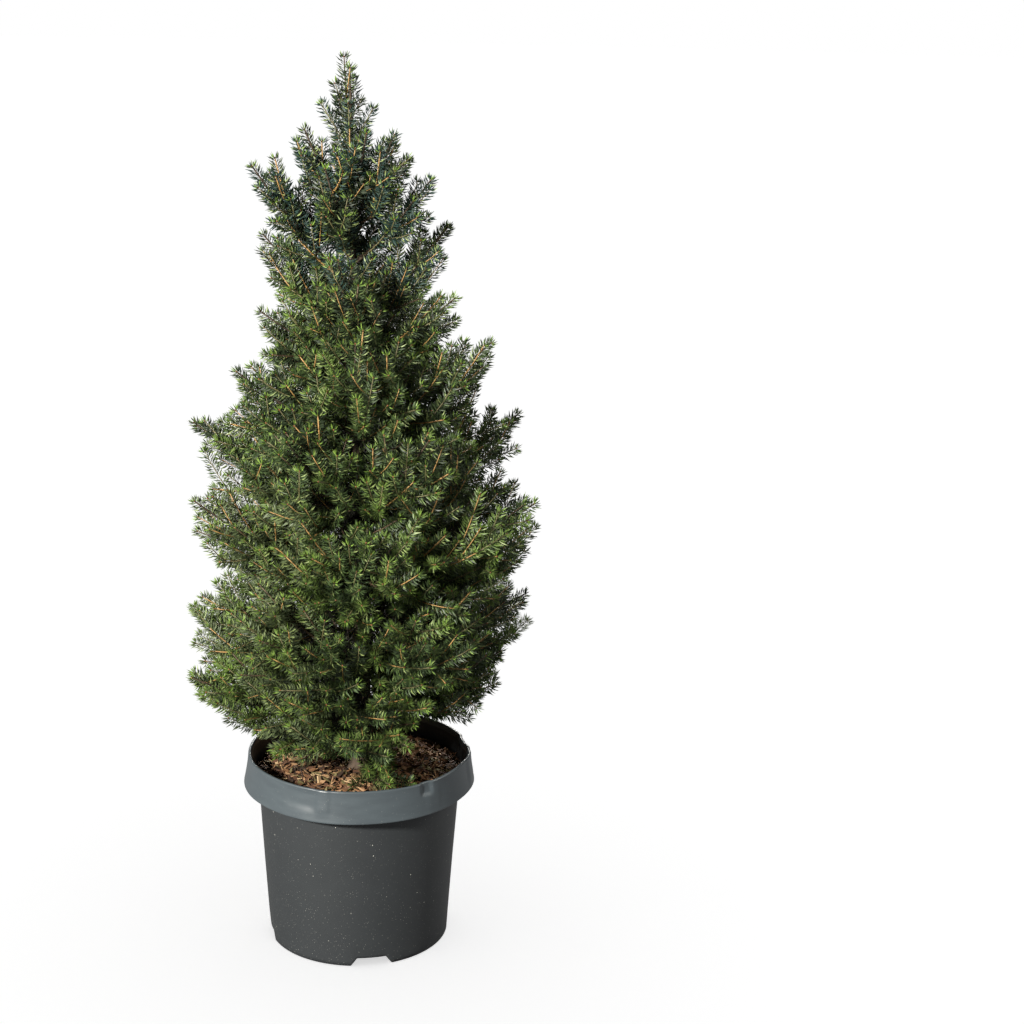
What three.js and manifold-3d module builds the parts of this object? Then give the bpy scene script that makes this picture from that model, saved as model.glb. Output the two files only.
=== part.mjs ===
// A dwarf Alberta spruce growing in a round nursery pot.
//
// Millimetres, +Z up. The origin is the centre of the pot's flat underside, and the plant's
// front faces -Y. Azimuths are in degrees from +X, turning towards +Y, so the front is 270.
//
// The crown is a set of whorls. Each whorl sends out limbs, and each limb carries one mass of
// foliage: a long uneven solid that swells from the limb's end and comes to a point at its tip.
// Two masses that would meet are held apart by a plane between their axes, so none overlap.

import * as THREE from 'three';
import { mergeVertices } from 'three/addons/utils/BufferGeometryUtils.js';
import Module from 'manifold-3d';

const wasm = await Module();
wasm.setup();

// ---------------------------------------------------------------- driving dimensions

const GAP = 0.4; // left between any two pieces that touch

const POT = {
  height: 236,
  footRadius: 109,
  footRound: 4,
  shoulderRadius: 122.5, // the body just under the collar
  shoulderHeight: 202,
  lipRadius: 134,
  lipWidth: 3.6,
  collarRadius: 140, // the collar's flared lower edge
  collarDrop: 39, // from the lip down to that edge
  collarRoom: 128, // inside radius of the wall behind the collar
  wall: 2.4,
  segments: 45,
};

const NOTCH = {
  count: 4,
  firstAzimuth: 278,
  width: 50, // along the ground
  topWidth: 35,
  height: 10,
  depth: 24,
  overrun: 5, // how far the cutting wedge runs past the foot and under it
  drainRadius: 5.5,
  drainSides: 10,
};

const SOIL = {
  level: 212, // at the trunk's foot
  dip: 5, // how far the surface falls towards the wall
  roughness: 2.2,
  flatRadius: 30, // level ground round the trunk
  segments: 27,
};

const TRUNK = {
  tip: 1046,
  footRadius: 13,
  tipRadius: 1.1,
  flare: 7, // extra radius of the root flare at the ground
  flareHeight: 26,
  flareRidges: 5,
  flareDepth: 0.45, // of the ridges, as a share of the flare
  rings: 15,
  sides: 10,
  crowding: 1.5, // rings stand closer together near the foot
  taper: 0.8, // under 1 the stem thins faster near its foot
  leanX: -13, // how far the tip stands off the foot
  leanY: 4,
  sway: 3, // side to side wander of the stem
  startX: 3,
};

const LIMB = {
  footRadius: 4.6, // of a limb as long as longLimb, where it leaves the trunk
  longLimb: 200,
  endRadius: 0.5, // as a share of the foot's
  arch: 0.06, // how far a limb hangs under its chord, as a share of its length
  sides: 7,
  rings: 3,
};

const MASS = {
  shoot: 26, // how far the longest shoots stand out of a mass
  hollow: 7, // how far the surface draws in between them
  clearance: 2.2, // air between two masses
  uplift: 12, // how far an axis hangs under its chord before the tip turns up
  underside: 42, // degrees that the crown's underside climbs on its way out
  undersideStart: 110, // radius where that climb starts
  sides: 12,
  slimWidth: 40, // a mass slimmer than this has only slimSides
  slimSides: 8,
  rings: 7,
  bend: 30, // the trunk's leaning and wandering over this height is left clear
  shortestShoot: 0.45, // as a share of the longest
  sideways: 0.8, // how much of a shoot stands out sideways
  forwards: 0.5, // and how much of it leans towards the tip
};

const LEADER = {
  foot: 898,
  tip: 1060,
  width: 42,
  taper: [1.15, 0.36], // its girth near the foot and near the tip, as shares of the width
  shaggy: [1.05, 1.4], // how far its shoots stand out, as shares of the girth
  hollow: 0.75, // and how far it draws in between them
  sides: 10,
  rings: 9,
};

// One row for each limb and its mass: the azimuth, how far out and how high the tip stands, the
// mass's half width and half height, and the bare share of the limb's length. A mass with no
// bare limb sits against the trunk.
const WHORLS = [
  {
    name: 'skirt',
    foot: 272,
    limbs: [
      { side: 'front', azimuth: 266, reach: 160, tip: 350, width: 88, height: 54, bare: 0.36 },
      { side: 'right', azimuth: 341, reach: 172, tip: 380, width: 74, height: 44, bare: 0.36 },
      { side: 'back_right', azimuth: 54, reach: 178, tip: 344, width: 84, height: 54, bare: 0.36 },
      { side: 'back_left', azimuth: 126, reach: 182, tip: 338, width: 84, height: 54, bare: 0.36 },
      { side: 'left', azimuth: 197, reach: 206, tip: 350, width: 76, height: 48, bare: 0.36 },
    ],
  },
  {
    name: 'low',
    foot: 346,
    limbs: [
      { side: 'front_right', azimuth: 301, reach: 184, tip: 446, width: 94, height: 73, bare: 0.34 },
      { side: 'right', azimuth: 16, reach: 208, tip: 414, width: 80, height: 60, bare: 0.34 },
      { side: 'back', azimuth: 90, reach: 184, tip: 424, width: 92, height: 74, bare: 0 },
      { side: 'left', azimuth: 164, reach: 212, tip: 396, width: 78, height: 60, bare: 0.34 },
      { side: 'front_left', azimuth: 240, reach: 186, tip: 438, width: 94, height: 73, bare: 0.34 },
    ],
  },
  {
    name: 'middle',
    foot: 436,
    limbs: [
      { side: 'front', azimuth: 272, reach: 178, tip: 548, width: 92, height: 78, bare: 0.34 },
      { side: 'right', azimuth: 344, reach: 208, tip: 560, width: 80, height: 60, bare: 0.34 },
      { side: 'back_right', azimuth: 54, reach: 188, tip: 536, width: 90, height: 73, bare: 0 },
      { side: 'back_left', azimuth: 126, reach: 186, tip: 528, width: 90, height: 73, bare: 0 },
      { side: 'left', azimuth: 197, reach: 196, tip: 562, width: 80, height: 58, bare: 0 },
    ],
  },
  {
    name: 'shoulder',
    foot: 530,
    limbs: [
      { side: 'front_right', azimuth: 300, reach: 156, tip: 652, width: 86, height: 70, bare: 0.34 },
      { side: 'right', azimuth: 14, reach: 196, tip: 642, width: 72, height: 58, bare: 0 },
      { side: 'back', azimuth: 90, reach: 160, tip: 640, width: 84, height: 70, bare: 0 },
      { side: 'left', azimuth: 166, reach: 198, tip: 630, width: 70, height: 46, bare: 0 },
      { side: 'front_left', azimuth: 240, reach: 154, tip: 650, width: 86, height: 70, bare: 0.34 },
    ],
  },
  {
    name: 'upper',
    foot: 618,
    limbs: [
      { side: 'front', azimuth: 270, reach: 116, tip: 756, width: 64, height: 65, bare: 0 },
      { side: 'right', azimuth: 346, reach: 158, tip: 744, width: 54, height: 40, bare: 0 },
      { side: 'back_right', azimuth: 52, reach: 118, tip: 770, width: 64, height: 60, bare: 0 },
      { side: 'back_left', azimuth: 126, reach: 122, tip: 748, width: 64, height: 65, bare: 0 },
      { side: 'left', azimuth: 194, reach: 138, tip: 708, width: 58, height: 50, bare: 0 },
    ],
  },
  {
    name: 'crown',
    foot: 712,
    limbs: [
      { side: 'front', azimuth: 258, reach: 80, tip: 842, width: 50, height: 49, bare: 0 },
      { side: 'right', azimuth: 338, reach: 122, tip: 796, width: 50, height: 36, bare: 0 },
      { side: 'back', azimuth: 84, reach: 88, tip: 842, width: 60, height: 52, bare: 0 },
      { side: 'left', azimuth: 176, reach: 106, tip: 770, width: 50, height: 38, bare: 0 },
    ],
  },
];

// Limbs of the spire, which leave the trunk one by one.
const SPIRE = [
  { name: 'spire_low_right', foot: 760, azimuth: 12, reach: 110, tip: 868, width: 42, height: 34, bare: 0 },
  { name: 'spire_low_left', foot: 762, azimuth: 168, reach: 104, tip: 856, width: 40, height: 32, bare: 0 },
  { name: 'spire_right', foot: 826, azimuth: 352, reach: 88, tip: 924, width: 38, height: 34, bare: 0.34 },
  { name: 'spire_back', foot: 826, azimuth: 80, reach: 72, tip: 930, width: 42, height: 36, bare: 0 },
  { name: 'spire_front_left', foot: 842, azimuth: 238, reach: 56, tip: 938, width: 36, height: 32, bare: 0 },
  { name: 'spire_front_right', foot: 892, azimuth: 292, reach: 42, tip: 976, width: 32, height: 28, bare: 0 },
  { name: 'spire_high_right', foot: 872, azimuth: 338, reach: 50, tip: 974, width: 40, height: 38, bare: 0 },
  { name: 'spire_high_left', foot: 868, azimuth: 192, reach: 54, tip: 978, width: 40, height: 38, bare: 0 },
  { name: 'long_shoot_outer', foot: 800, azimuth: 194, reach: 114, tip: 938, width: 15, height: 16, bare: 0.4 },
  { name: 'long_shoot_inner', foot: 838, azimuth: 166, reach: 96, tip: 926, width: 18, height: 16, bare: 0 },
];

// A low sprig that lies over the soil inside the lip.
const SPRIG = {
  name: 'low_sprig', foot: 226, azimuth: 288, reach: 104, tip: 230, width: 24, height: 11, bare: 0.34,
};

// ---------------------------------------------------------------- materials

const finish = (color, roughness) => new THREE.MeshStandardMaterial({ color, roughness, metalness: 0 });
const plastic = finish(0x3c4347, 0.5);
const substrate = finish(0x5a4030, 0.95);
const bark = finish(0x6f4f38, 0.9);
const limbBark = finish(0x94673f, 0.85);
const foliage = [0x2f4a2c, 0x38552f, 0x415f33, 0x2a4430].map((color) => finish(color, 0.75));

// ---------------------------------------------------------------- small tools

const UP = new THREE.Vector3(0, 0, 1);
const radians = THREE.MathUtils.degToRad;
const clamp = THREE.MathUtils.clamp;
const lerp = THREE.MathUtils.lerp;

// A repeatable stream of numbers from 0 to 1 (mulberry32).
function seeded(seed) {
  let state = seed;
  return () => {
    state = (state + 0x6d2b79f5) | 0;
    let t = Math.imul(state ^ (state >>> 15), 1 | state);
    t = (t + Math.imul(t ^ (t >>> 7), 61 | t)) ^ t;
    return ((t ^ (t >>> 14)) >>> 0) / 4294967296;
  };
}

// The same closed surface with each shared vertex held once and nothing but positions.
function merged(geometry) {
  const bare = geometry.clone();
  bare.deleteAttribute('normal');
  bare.deleteAttribute('uv');
  return mergeVertices(bare, 1e-4);
}

function solidOf(geometry) {
  const closed = merged(geometry);
  const vertProperties = new Float32Array(closed.attributes.position.array);
  const triVerts = new Uint32Array(closed.index.array);
  return new wasm.Manifold(new wasm.Mesh({ numProp: 3, vertProperties, triVerts }));
}

function geometryOf(solid) {
  const mesh = solid.getMesh();
  const geometry = new THREE.BufferGeometry();
  geometry.setAttribute('position', new THREE.BufferAttribute(mesh.vertProperties, mesh.numProp));
  geometry.setIndex(new THREE.BufferAttribute(mesh.triVerts, 1));
  return geometry;
}

// Moves every vertex of a closed three.js shape to where place(point) says.
function reshaped(geometry, place) {
  const closed = merged(geometry);
  const position = closed.attributes.position;
  const point = new THREE.Vector3();
  for (let i = 0; i < position.count; i++) {
    point.fromBufferAttribute(position, i);
    const moved = place(point, i);
    position.setXYZ(i, moved.x, moved.y, moved.z);
  }
  return closed;
}

// A lathe turned to stand on Z. The profile holds [radius, height] pairs, from the axis to the
// axis, going up the outside.
function lathe(profile, segments) {
  const points = profile.map(([radius, height]) => new THREE.Vector2(radius, height));
  return new THREE.LatheGeometry(points, segments).rotateX(Math.PI / 2);
}

// ---------------------------------------------------------------- pot

const lipInner = POT.lipRadius - POT.lipWidth;
const floorTop = POT.wall + 0.6;
const shoulderRise = 5; // the body steps out to the collar over this height

// Inside of the pot, from its floor to the lip. inset draws it in all round.
function innerProfile(inset) {
  const slope = (POT.shoulderRadius - POT.footRadius) / POT.shoulderHeight;
  const radiusAt = (height) => POT.footRadius + slope * height - POT.wall - inset;
  const step = POT.shoulderHeight - POT.wall;
  return [
    [radiusAt(floorTop) - POT.footRound, floorTop + inset],
    [radiusAt(floorTop + POT.footRound), floorTop + POT.footRound + inset],
    [radiusAt(step), step + inset],
    [POT.collarRoom - inset, step + shoulderRise + inset],
  ];
}

// The pot's wall in section: up the tapering body, out under the collar, down and round its
// free lower edge, up its flared outside to the lip, and back down inside.
function potProfile() {
  const collarFoot = POT.height - POT.collarDrop;
  const behindCollar = POT.collarRoom + POT.wall;
  return [
    [0, 0],
    [POT.footRadius - POT.footRound, 0],
    [POT.footRadius - 0.6, 1.4],
    [POT.footRadius + 0.3, POT.footRound],
    [POT.shoulderRadius, POT.shoulderHeight],
    [behindCollar, POT.shoulderHeight + shoulderRise],
    [behindCollar + 1.4, POT.height - 6],
    [POT.collarRadius - 3.4, collarFoot + 3],
    [POT.collarRadius - 2.2, collarFoot],
    [POT.collarRadius, collarFoot + 1.6],
    [POT.collarRadius - 0.4, collarFoot + 8],
    [POT.lipRadius + 0.4, POT.height - 3],
    [POT.lipRadius - 1.2, POT.height],
    [lipInner, POT.height - 0.6],
    ...innerProfile(0).reverse(),
    [0, floorTop],
  ];
}

// One drainage notch: a wedge with sloping ends, run inwards from the foot. grow makes it
// larger all round, for the raised floor over it.
function notchGeometry(azimuth, grow) {
  const half = NOTCH.width / 2 + grow;
  const topHalf = NOTCH.topWidth / 2 + grow;
  const below = NOTCH.overrun;
  const slope = (half - topHalf) / NOTCH.height;
  const outline = new THREE.Shape();
  outline.moveTo(-half - slope * below, -below);
  outline.lineTo(half + slope * below, -below);
  outline.lineTo(topHalf, NOTCH.height + grow);
  outline.lineTo(-topHalf, NOTCH.height + grow);
  outline.closePath();
  const depth = NOTCH.depth + grow + below;
  const wedge = new THREE.ExtrudeGeometry(outline, { depth, bevelEnabled: false });
  wedge.rotateX(Math.PI / 2);
  wedge.translate(0, depth + POT.footRadius - NOTCH.depth - grow, 0);
  return wedge.rotateZ(radians(azimuth - 90));
}

// A drain hole, upright through the raised floor over a notch.
function drainGeometry(azimuth) {
  const { drainRadius, drainSides, height, depth } = NOTCH;
  const hole = new THREE.CylinderGeometry(drainRadius, drainRadius, 3 * height, drainSides);
  hole.rotateX(Math.PI / 2);
  hole.translate(POT.footRadius - POT.footRound - depth / 2, 0, height);
  return hole.rotateZ(radians(azimuth));
}

const notchAzimuths = Array.from(
  { length: NOTCH.count },
  (_, i) => NOTCH.firstAzimuth + (i * 360) / NOTCH.count,
);

function potGeometry() {
  let shell = solidOf(lathe(potProfile(), POT.segments));
  const inside = solidOf(lathe([[0, 1], ...innerProfile(-1), [0, POT.height]], POT.segments));
  for (const azimuth of notchAzimuths) {
    const raisedFloor = solidOf(notchGeometry(azimuth, POT.wall)).intersect(inside);
    shell = shell.add(raisedFloor);
  }
  for (const azimuth of notchAzimuths) {
    shell = shell.subtract(solidOf(notchGeometry(azimuth, 0)));
    shell = shell.subtract(solidOf(drainGeometry(azimuth)));
  }
  return geometryOf(shell);
}

// ---------------------------------------------------------------- soil

// Height of the soil's top: level round the trunk, falling to the wall, with low lumps.
function soilHeight(x, y) {
  const radius = Math.hypot(x, y);
  const away = clamp((radius - SOIL.flatRadius) / (POT.collarRoom - SOIL.flatRadius), 0, 1);
  const lumps = Math.sin(x * 0.061 + 1.3) * Math.cos(y * 0.074 - 0.4) + 0.5 * Math.sin((x - y) * 0.11);
  return SOIL.level - SOIL.dip * away * away + SOIL.roughness * lumps * Math.min(1, 2 * away);
}

// The root ball fills the pot to just below the collar's shoulder, with a lumpy top.
function soilGeometry() {
  const facetGap = POT.collarRoom * (1 - Math.cos(Math.PI / POT.segments));
  const wall = innerProfile(GAP + facetGap);
  const rim = wall[wall.length - 1][0];
  const rings = [1, 0.78, 0.54, SOIL.flatRadius / rim];
  const top = rings.map((share) => [rim * share, SOIL.level]);
  const plug = lathe([[0, wall[0][1]], ...wall, ...top, [0, SOIL.level]], SOIL.segments);
  const lumpy = reshaped(plug, (p) => {
    const onTop = p.z > SOIL.level - 0.5;
    return new THREE.Vector3(p.x, p.y, onTop ? soilHeight(p.x, p.y) : p.z);
  });
  let ball = solidOf(lumpy);
  for (const azimuth of notchAzimuths)
    ball = ball.subtract(solidOf(notchGeometry(azimuth, POT.wall + GAP)));
  return geometryOf(ball);
}

// ---------------------------------------------------------------- trunk

const trunkFoot = SOIL.level + GAP;

// Share of the way up the trunk, from 0 at the ground to 1 at the tip.
const trunkShare = (z) => clamp((z - trunkFoot) / (TRUNK.tip - trunkFoot), 0, 1);

// Centre of the trunk at a height: a steady lean with a slight wander.
function trunkCentre(z) {
  const share = trunkShare(z);
  const wander = TRUNK.sway * Math.sin(share * 7.5) * (1 - share);
  return new THREE.Vector3(
    TRUNK.startX + TRUNK.leanX * share + wander,
    TRUNK.leanY * share + 0.6 * wander,
    z,
  );
}

function trunkRadius(z) {
  return lerp(TRUNK.footRadius, TRUNK.tipRadius, trunkShare(z) ** TRUNK.taper);
}

// The trunk from its flat cut at the ground to its tip. grow makes it thicker, to cut the room
// that a neighbour leaves round it.
function trunkGeometry(grow = 0) {
  const height = TRUNK.tip - trunkFoot;
  const column = new THREE.CylinderGeometry(1, 1, 1, TRUNK.sides, TRUNK.rings);
  column.rotateX(Math.PI / 2);
  return reshaped(column, (p) => {
    const share = clamp(p.z + 0.5, 0, 1) ** TRUNK.crowding;
    const z = trunkFoot + share * height;
    const flare = TRUNK.flare * Math.max(0, 1 - (z - trunkFoot) / TRUNK.flareHeight) ** 2;
    const ridges = 1 + TRUNK.flareDepth * Math.cos(TRUNK.flareRidges * Math.atan2(p.y, p.x) + 0.7);
    const radius = trunkRadius(z) + flare * ridges + grow;
    const lift = p.z > 0.49 ? grow : 0;
    return trunkCentre(z).add(new THREE.Vector3(p.x * radius, p.y * radius, lift));
  });
}

// ---------------------------------------------------------------- limbs and their masses

// The rows above as plain records, each with its foot on the trunk and its tip in space.
function limbList() {
  const rows = [];
  for (const whorl of WHORLS)
    for (const limb of whorl.limbs)
      rows.push({ ...limb, name: `${whorl.name}_${limb.side}`, foot: whorl.foot });
  rows.push(...SPIRE, SPRIG);
  return rows.map(laidOut);
}

function laidOut(row, index) {
  const foot = trunkCentre(row.foot);
  const heading = new THREE.Vector3(Math.cos(radians(row.azimuth)), Math.sin(radians(row.azimuth)), 0);
  const tip = heading.clone().multiplyScalar(row.reach).setZ(row.tip);
  tip.x += foot.x;
  const chord = new THREE.Line3(foot, tip);
  const seat = (trunkRadius(row.foot) + 1.5) / row.reach;
  const start = row.bare > 0 ? row.bare : seat;
  const axis = new THREE.Line3(chord.at(start, new THREE.Vector3()), tip);
  const along = axis.delta(new THREE.Vector3()).normalize();
  const side = new THREE.Vector3().crossVectors(UP, along).normalize();
  const over = new THREE.Vector3().crossVectors(along, side);
  return { ...row, index, foot, heading, tip, chord, start, axis, along, side, over };
}

// How far a mass reaches off its axis along a direction.
function halfExtent(limb, direction) {
  const across = limb.width * limb.side.dot(direction);
  const above = limb.height * limb.over.dot(direction);
  return Math.hypot(across, above) + MASS.shoot;
}

// The plane between two masses, square to the shortest line between their axes and shared out
// by their extents, or null where they are too far apart to meet. It faces the second one.
function planeBetween(first, second) {
  const near = new THREE.Vector3();
  const far = new THREE.Vector3();
  first.axis.distanceSqToLine3(second.axis, near, far);
  const normal = far.clone().sub(near);
  const distance = normal.length();
  normal.divideScalar(distance);
  const firstExtent = halfExtent(first, normal);
  const secondExtent = halfExtent(second, normal);
  if (distance > firstExtent + secondExtent + MASS.clearance) return null;
  const share = firstExtent / (firstExtent + secondExtent);
  const at = near.dot(normal) + distance * share;
  return { normal, at: at - MASS.clearance / 2 };
}

// Every plane that bounds a mass: one for each neighbour it could meet, and the trunk.
function boundsOf(limb, others) {
  const planes = [];
  for (const other of others) {
    if (other === limb) continue;
    const plane = planeBetween(limb, other);
    if (plane) planes.push(plane);
  }
  if (limb.heading) {
    const away = limb.heading.clone().negate();
    const seat = trunkCentre(limb.tip.z).distanceTo(trunkCentre(limb.foot.z).setZ(limb.tip.z));
    const clear = trunkRadius(limb.foot.z - MASS.bend) + 1 + 0.5 * seat;
    planes.push({ normal: away, at: away.dot(limb.foot) - clear });
  }
  return planes;
}

// The level under which a mass may not reach, and the slope of the crown's underside.
function undersideOf(limb, lowest) {
  const climb = radians(MASS.underside);
  const level = { normal: new THREE.Vector3(0, 0, -1), at: -lowest };
  const slope = limb.heading.clone().multiplyScalar(Math.sin(climb)).setZ(-Math.cos(climb));
  const at = MASS.undersideStart * Math.sin(climb) - lowest * Math.cos(climb);
  return [level, { normal: slope, at }];
}

// A point drawn back towards its ring's centre until it is inside every plane.
function held(point, centre, planes) {
  const kept = point.clone();
  for (const { normal, at } of planes) {
    const over = normal.dot(kept) - at;
    if (over <= 0) continue;
    const inside = normal.dot(centre) - at;
    const share = inside < 0 ? inside / (inside - over) : 0;
    kept.lerpVectors(centre, kept, share);
  }
  return kept;
}

// Half width of a mass along its axis: it swells quickly from the limb, stays broad past the
// middle and closes to a point.
const swell = (share) => Math.min(1, 2.1 * share ** 0.6 * (1 - share) ** 0.72);

// One mass: a sphere drawn out along the limb's axis, its ends at the limb and at the tip. Every
// other vertex stands out and forward as a shoot, and the ones between draw in.
function massGeometry(limb, others, lowest) {
  const random = seeded(101 + 17 * limb.index);
  const sides = limb.width < MASS.slimWidth ? MASS.slimSides : MASS.sides;
  const planes = [...boundsOf(limb, others), ...undersideOf(limb, lowest)];
  const shoot = Math.min(MASS.shoot, 0.55 * limb.width);
  const ball = new THREE.SphereGeometry(1, sides, MASS.rings);
  return reshaped(ball, (p) => {
    const share = Math.acos(clamp(p.y, -1, 1)) / Math.PI;
    const turn = Math.atan2(p.z, p.x);
    const centre = limb.axis.at(share, new THREE.Vector3());
    const across = limb.side.clone().multiplyScalar(Math.cos(turn) * limb.width);
    const above = limb.over.clone().multiplyScalar(Math.sin(turn) * limb.height);
    const off = across.add(above).multiplyScalar(swell(share));
    const spot = Math.round((turn / (2 * Math.PI)) * sides) + Math.round(share * MASS.rings);
    const stands = spot % 2 === 0;
    const swing = stands ? shoot * lerp(MASS.shortestShoot, 1, random()) : -MASS.hollow * random();
    const body = Math.sin(Math.PI * share) ** 0.5;
    const point = centre.clone().add(off);
    if (off.lengthSq() > 1) point.addScaledVector(off.clone().normalize(), swing * body * MASS.sideways);
    if (stands) point.addScaledVector(limb.along, swing * body * MASS.forwards);
    point.z += MASS.uplift * (share ** 2 - share);
    return held(point, centre, planes);
  });
}

// One limb, from the trunk to where it enters its mass: a tapering rod that hangs a little
// under its chord, cut to sit on the trunk with a gap.
function limbGeometry(limb, grownTrunk) {
  const length = limb.chord.distance() * limb.start;
  const radius = LIMB.footRadius * clamp(limb.reach / LIMB.longLimb, 0.5, 1);
  const rod = new THREE.CylinderGeometry(1, 1, 1, LIMB.sides, LIMB.rings);
  const bent = reshaped(rod, (p) => {
    const share = 0.5 - p.y;
    const centre = limb.chord.at(share * limb.start * (1 - GAP / length), new THREE.Vector3());
    centre.z -= LIMB.arch * length * 4 * share * (1 - share);
    const thick = radius * lerp(1, LIMB.endRadius, share);
    centre.addScaledVector(limb.side, p.x * thick);
    return centre.addScaledVector(limb.over, p.z * thick);
  });
  return geometryOf(solidOf(bent).subtract(grownTrunk));
}

// The leader: the foliage round the top of the trunk, narrow at the tip and shaggy below.
function leaderRecord(index) {
  const foot = trunkCentre(LEADER.foot);
  const tip = trunkCentre(TRUNK.tip).setZ(LEADER.tip);
  const axis = new THREE.Line3(foot, tip);
  const along = axis.delta(new THREE.Vector3()).normalize();
  const side = new THREE.Vector3(0, 1, 0);
  const over = new THREE.Vector3().crossVectors(along, side);
  const width = LEADER.width;
  return { name: 'leader', index, foot, tip, axis, along, side, over, width, height: width };
}

function leaderGeometry(leader, others, grownTrunk) {
  const random = seeded(7);
  const planes = boundsOf(leader, others);
  const ball = new THREE.SphereGeometry(1, LEADER.sides, LEADER.rings);
  const shaggy = reshaped(ball, (p) => {
    const share = Math.acos(clamp(p.y, -1, 1)) / Math.PI;
    const turn = Math.atan2(p.z, p.x);
    const centre = leader.axis.at(share, new THREE.Vector3());
    const spot = Math.round((turn / (2 * Math.PI)) * LEADER.sides) + Math.round(share * LEADER.rings);
    const stands = spot % 2 === 0 ? lerp(...LEADER.shaggy, random()) : LEADER.hollow;
    const girth = leader.width * Math.sin(Math.PI * share) ** 0.6 * lerp(...LEADER.taper, share ** 0.6);
    centre.addScaledVector(leader.along, (stands - 1) * girth * 0.5);
    const point = centre.clone();
    point.addScaledVector(leader.side, Math.cos(turn) * girth * stands);
    point.addScaledVector(leader.over, Math.sin(turn) * girth * stands);
    return held(point, leader.axis.at(share, new THREE.Vector3()), planes);
  });
  return geometryOf(solidOf(shaggy).subtract(grownTrunk));
}

// ---------------------------------------------------------------- assembly

const spruce = new THREE.Group();

function addPart(name, geometry, material) {
  const mesh = new THREE.Mesh(geometry, material);
  mesh.name = name;
  spruce.add(mesh);
}

addPart('pot', potGeometry(), plastic);
addPart('soil', soilGeometry(), substrate);
addPart('trunk', trunkGeometry(), bark);

const grownTrunk = solidOf(trunkGeometry(GAP));
const limbs = limbList();
const leader = leaderRecord(limbs.length);
const masses = [...limbs, leader];
const aboveLip = POT.height + 5;
const aboveSoil = SOIL.level + 5;

for (const limb of limbs) {
  if (limb.bare > 0) addPart(`bough_${limb.name}`, limbGeometry(limb, grownTrunk), limbBark);
  const lowest = limb.name === SPRIG.name ? aboveSoil : aboveLip;
  addPart(`mass_${limb.name}`, massGeometry(limb, masses, lowest), foliage[limb.index % foliage.length]);
}
addPart('mass_leader', leaderGeometry(leader, masses, grownTrunk), foliage[0]);

export default spruce;
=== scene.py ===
# A dwarf Alberta spruce in a nursery pot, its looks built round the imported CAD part.
# Metres, +Z up. The pot's flat underside is centred on the origin and the front faces -Y.
import math

import bpy
import numpy as np
from mathutils import Matrix, Vector
from mathutils.bvhtree import BVHTree


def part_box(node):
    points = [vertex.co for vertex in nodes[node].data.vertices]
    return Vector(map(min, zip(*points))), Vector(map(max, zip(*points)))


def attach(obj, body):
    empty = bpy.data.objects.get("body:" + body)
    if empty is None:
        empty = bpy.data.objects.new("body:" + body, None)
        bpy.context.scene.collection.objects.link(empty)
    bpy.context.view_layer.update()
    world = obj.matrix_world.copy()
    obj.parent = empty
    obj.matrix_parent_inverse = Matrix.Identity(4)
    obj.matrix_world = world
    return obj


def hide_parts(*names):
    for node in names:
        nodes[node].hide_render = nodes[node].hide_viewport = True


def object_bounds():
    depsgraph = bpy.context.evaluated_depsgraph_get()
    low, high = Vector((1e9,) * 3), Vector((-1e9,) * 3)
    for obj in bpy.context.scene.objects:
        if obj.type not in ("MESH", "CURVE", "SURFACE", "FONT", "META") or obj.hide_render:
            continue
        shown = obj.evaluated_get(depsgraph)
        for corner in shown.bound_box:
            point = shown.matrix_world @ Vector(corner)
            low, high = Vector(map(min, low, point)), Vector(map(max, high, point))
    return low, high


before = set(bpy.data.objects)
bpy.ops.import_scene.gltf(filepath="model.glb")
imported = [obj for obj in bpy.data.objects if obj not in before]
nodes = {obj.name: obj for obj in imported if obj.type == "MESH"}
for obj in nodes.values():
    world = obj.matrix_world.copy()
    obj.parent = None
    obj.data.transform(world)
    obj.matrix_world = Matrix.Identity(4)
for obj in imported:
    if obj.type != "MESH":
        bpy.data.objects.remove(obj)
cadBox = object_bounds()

mm = 0.001
up = np.array([0.0, 0.0, 1.0])
goldenAngle = math.pi * (3 - math.sqrt(5))

massNames = sorted(name for name in nodes if name.startswith("mass_"))
boughNames = sorted(name for name in nodes if name.startswith("bough_"))


# sRGB to linear, channel by channel: c / 12.92 near black, else ((c + 0.055) / 1.055) ^ 2.4
def linear(hexColour):
    channels = np.array([int(hexColour[i:i + 2], 16) for i in (1, 3, 5)]) / 255
    low = channels / 12.92
    high = ((channels + 0.055) / 1.055) ** 2.4
    return (*np.where(channels <= 0.04045, low, high).tolist(), 1.0)


# Adds one node. A setting whose name (or number) is an input sets that input, any other sets the
# node itself. links joins an input to another node's output.
def addNode(tree, kind, settings=None, links=None):
    node = tree.nodes.new(kind)
    for key, value in (settings or {}).items():
        if isinstance(key, str) and hasattr(node, key):
            setattr(node, key, value)
        else:
            node.inputs[key].default_value = value
    for key, output in (links or {}).items():
        tree.links.new(output, node.inputs[key])
    return node


# An empty material with its shader and output, ready for a pattern to be linked in.
def newMaterial(name, settings):
    material = bpy.data.materials.new(name)
    material.use_nodes = True
    tree = material.node_tree
    tree.nodes.clear()
    shader = addNode(tree, "ShaderNodeBsdfPrincipled", settings)
    addNode(tree, "ShaderNodeOutputMaterial", links={"Surface": shader.outputs["BSDF"]})
    return material, tree, shader


# Plain paint of one colour, for needles, twigs and chips, whose colours are dealt out by spray.
def plainMaterial(name, hexColour, roughness, specular=0.5):
    settings = {"Base Color": linear(hexColour), "Roughness": roughness, "Specular IOR Level": specular}
    return newMaterial(name, settings)[0]


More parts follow.
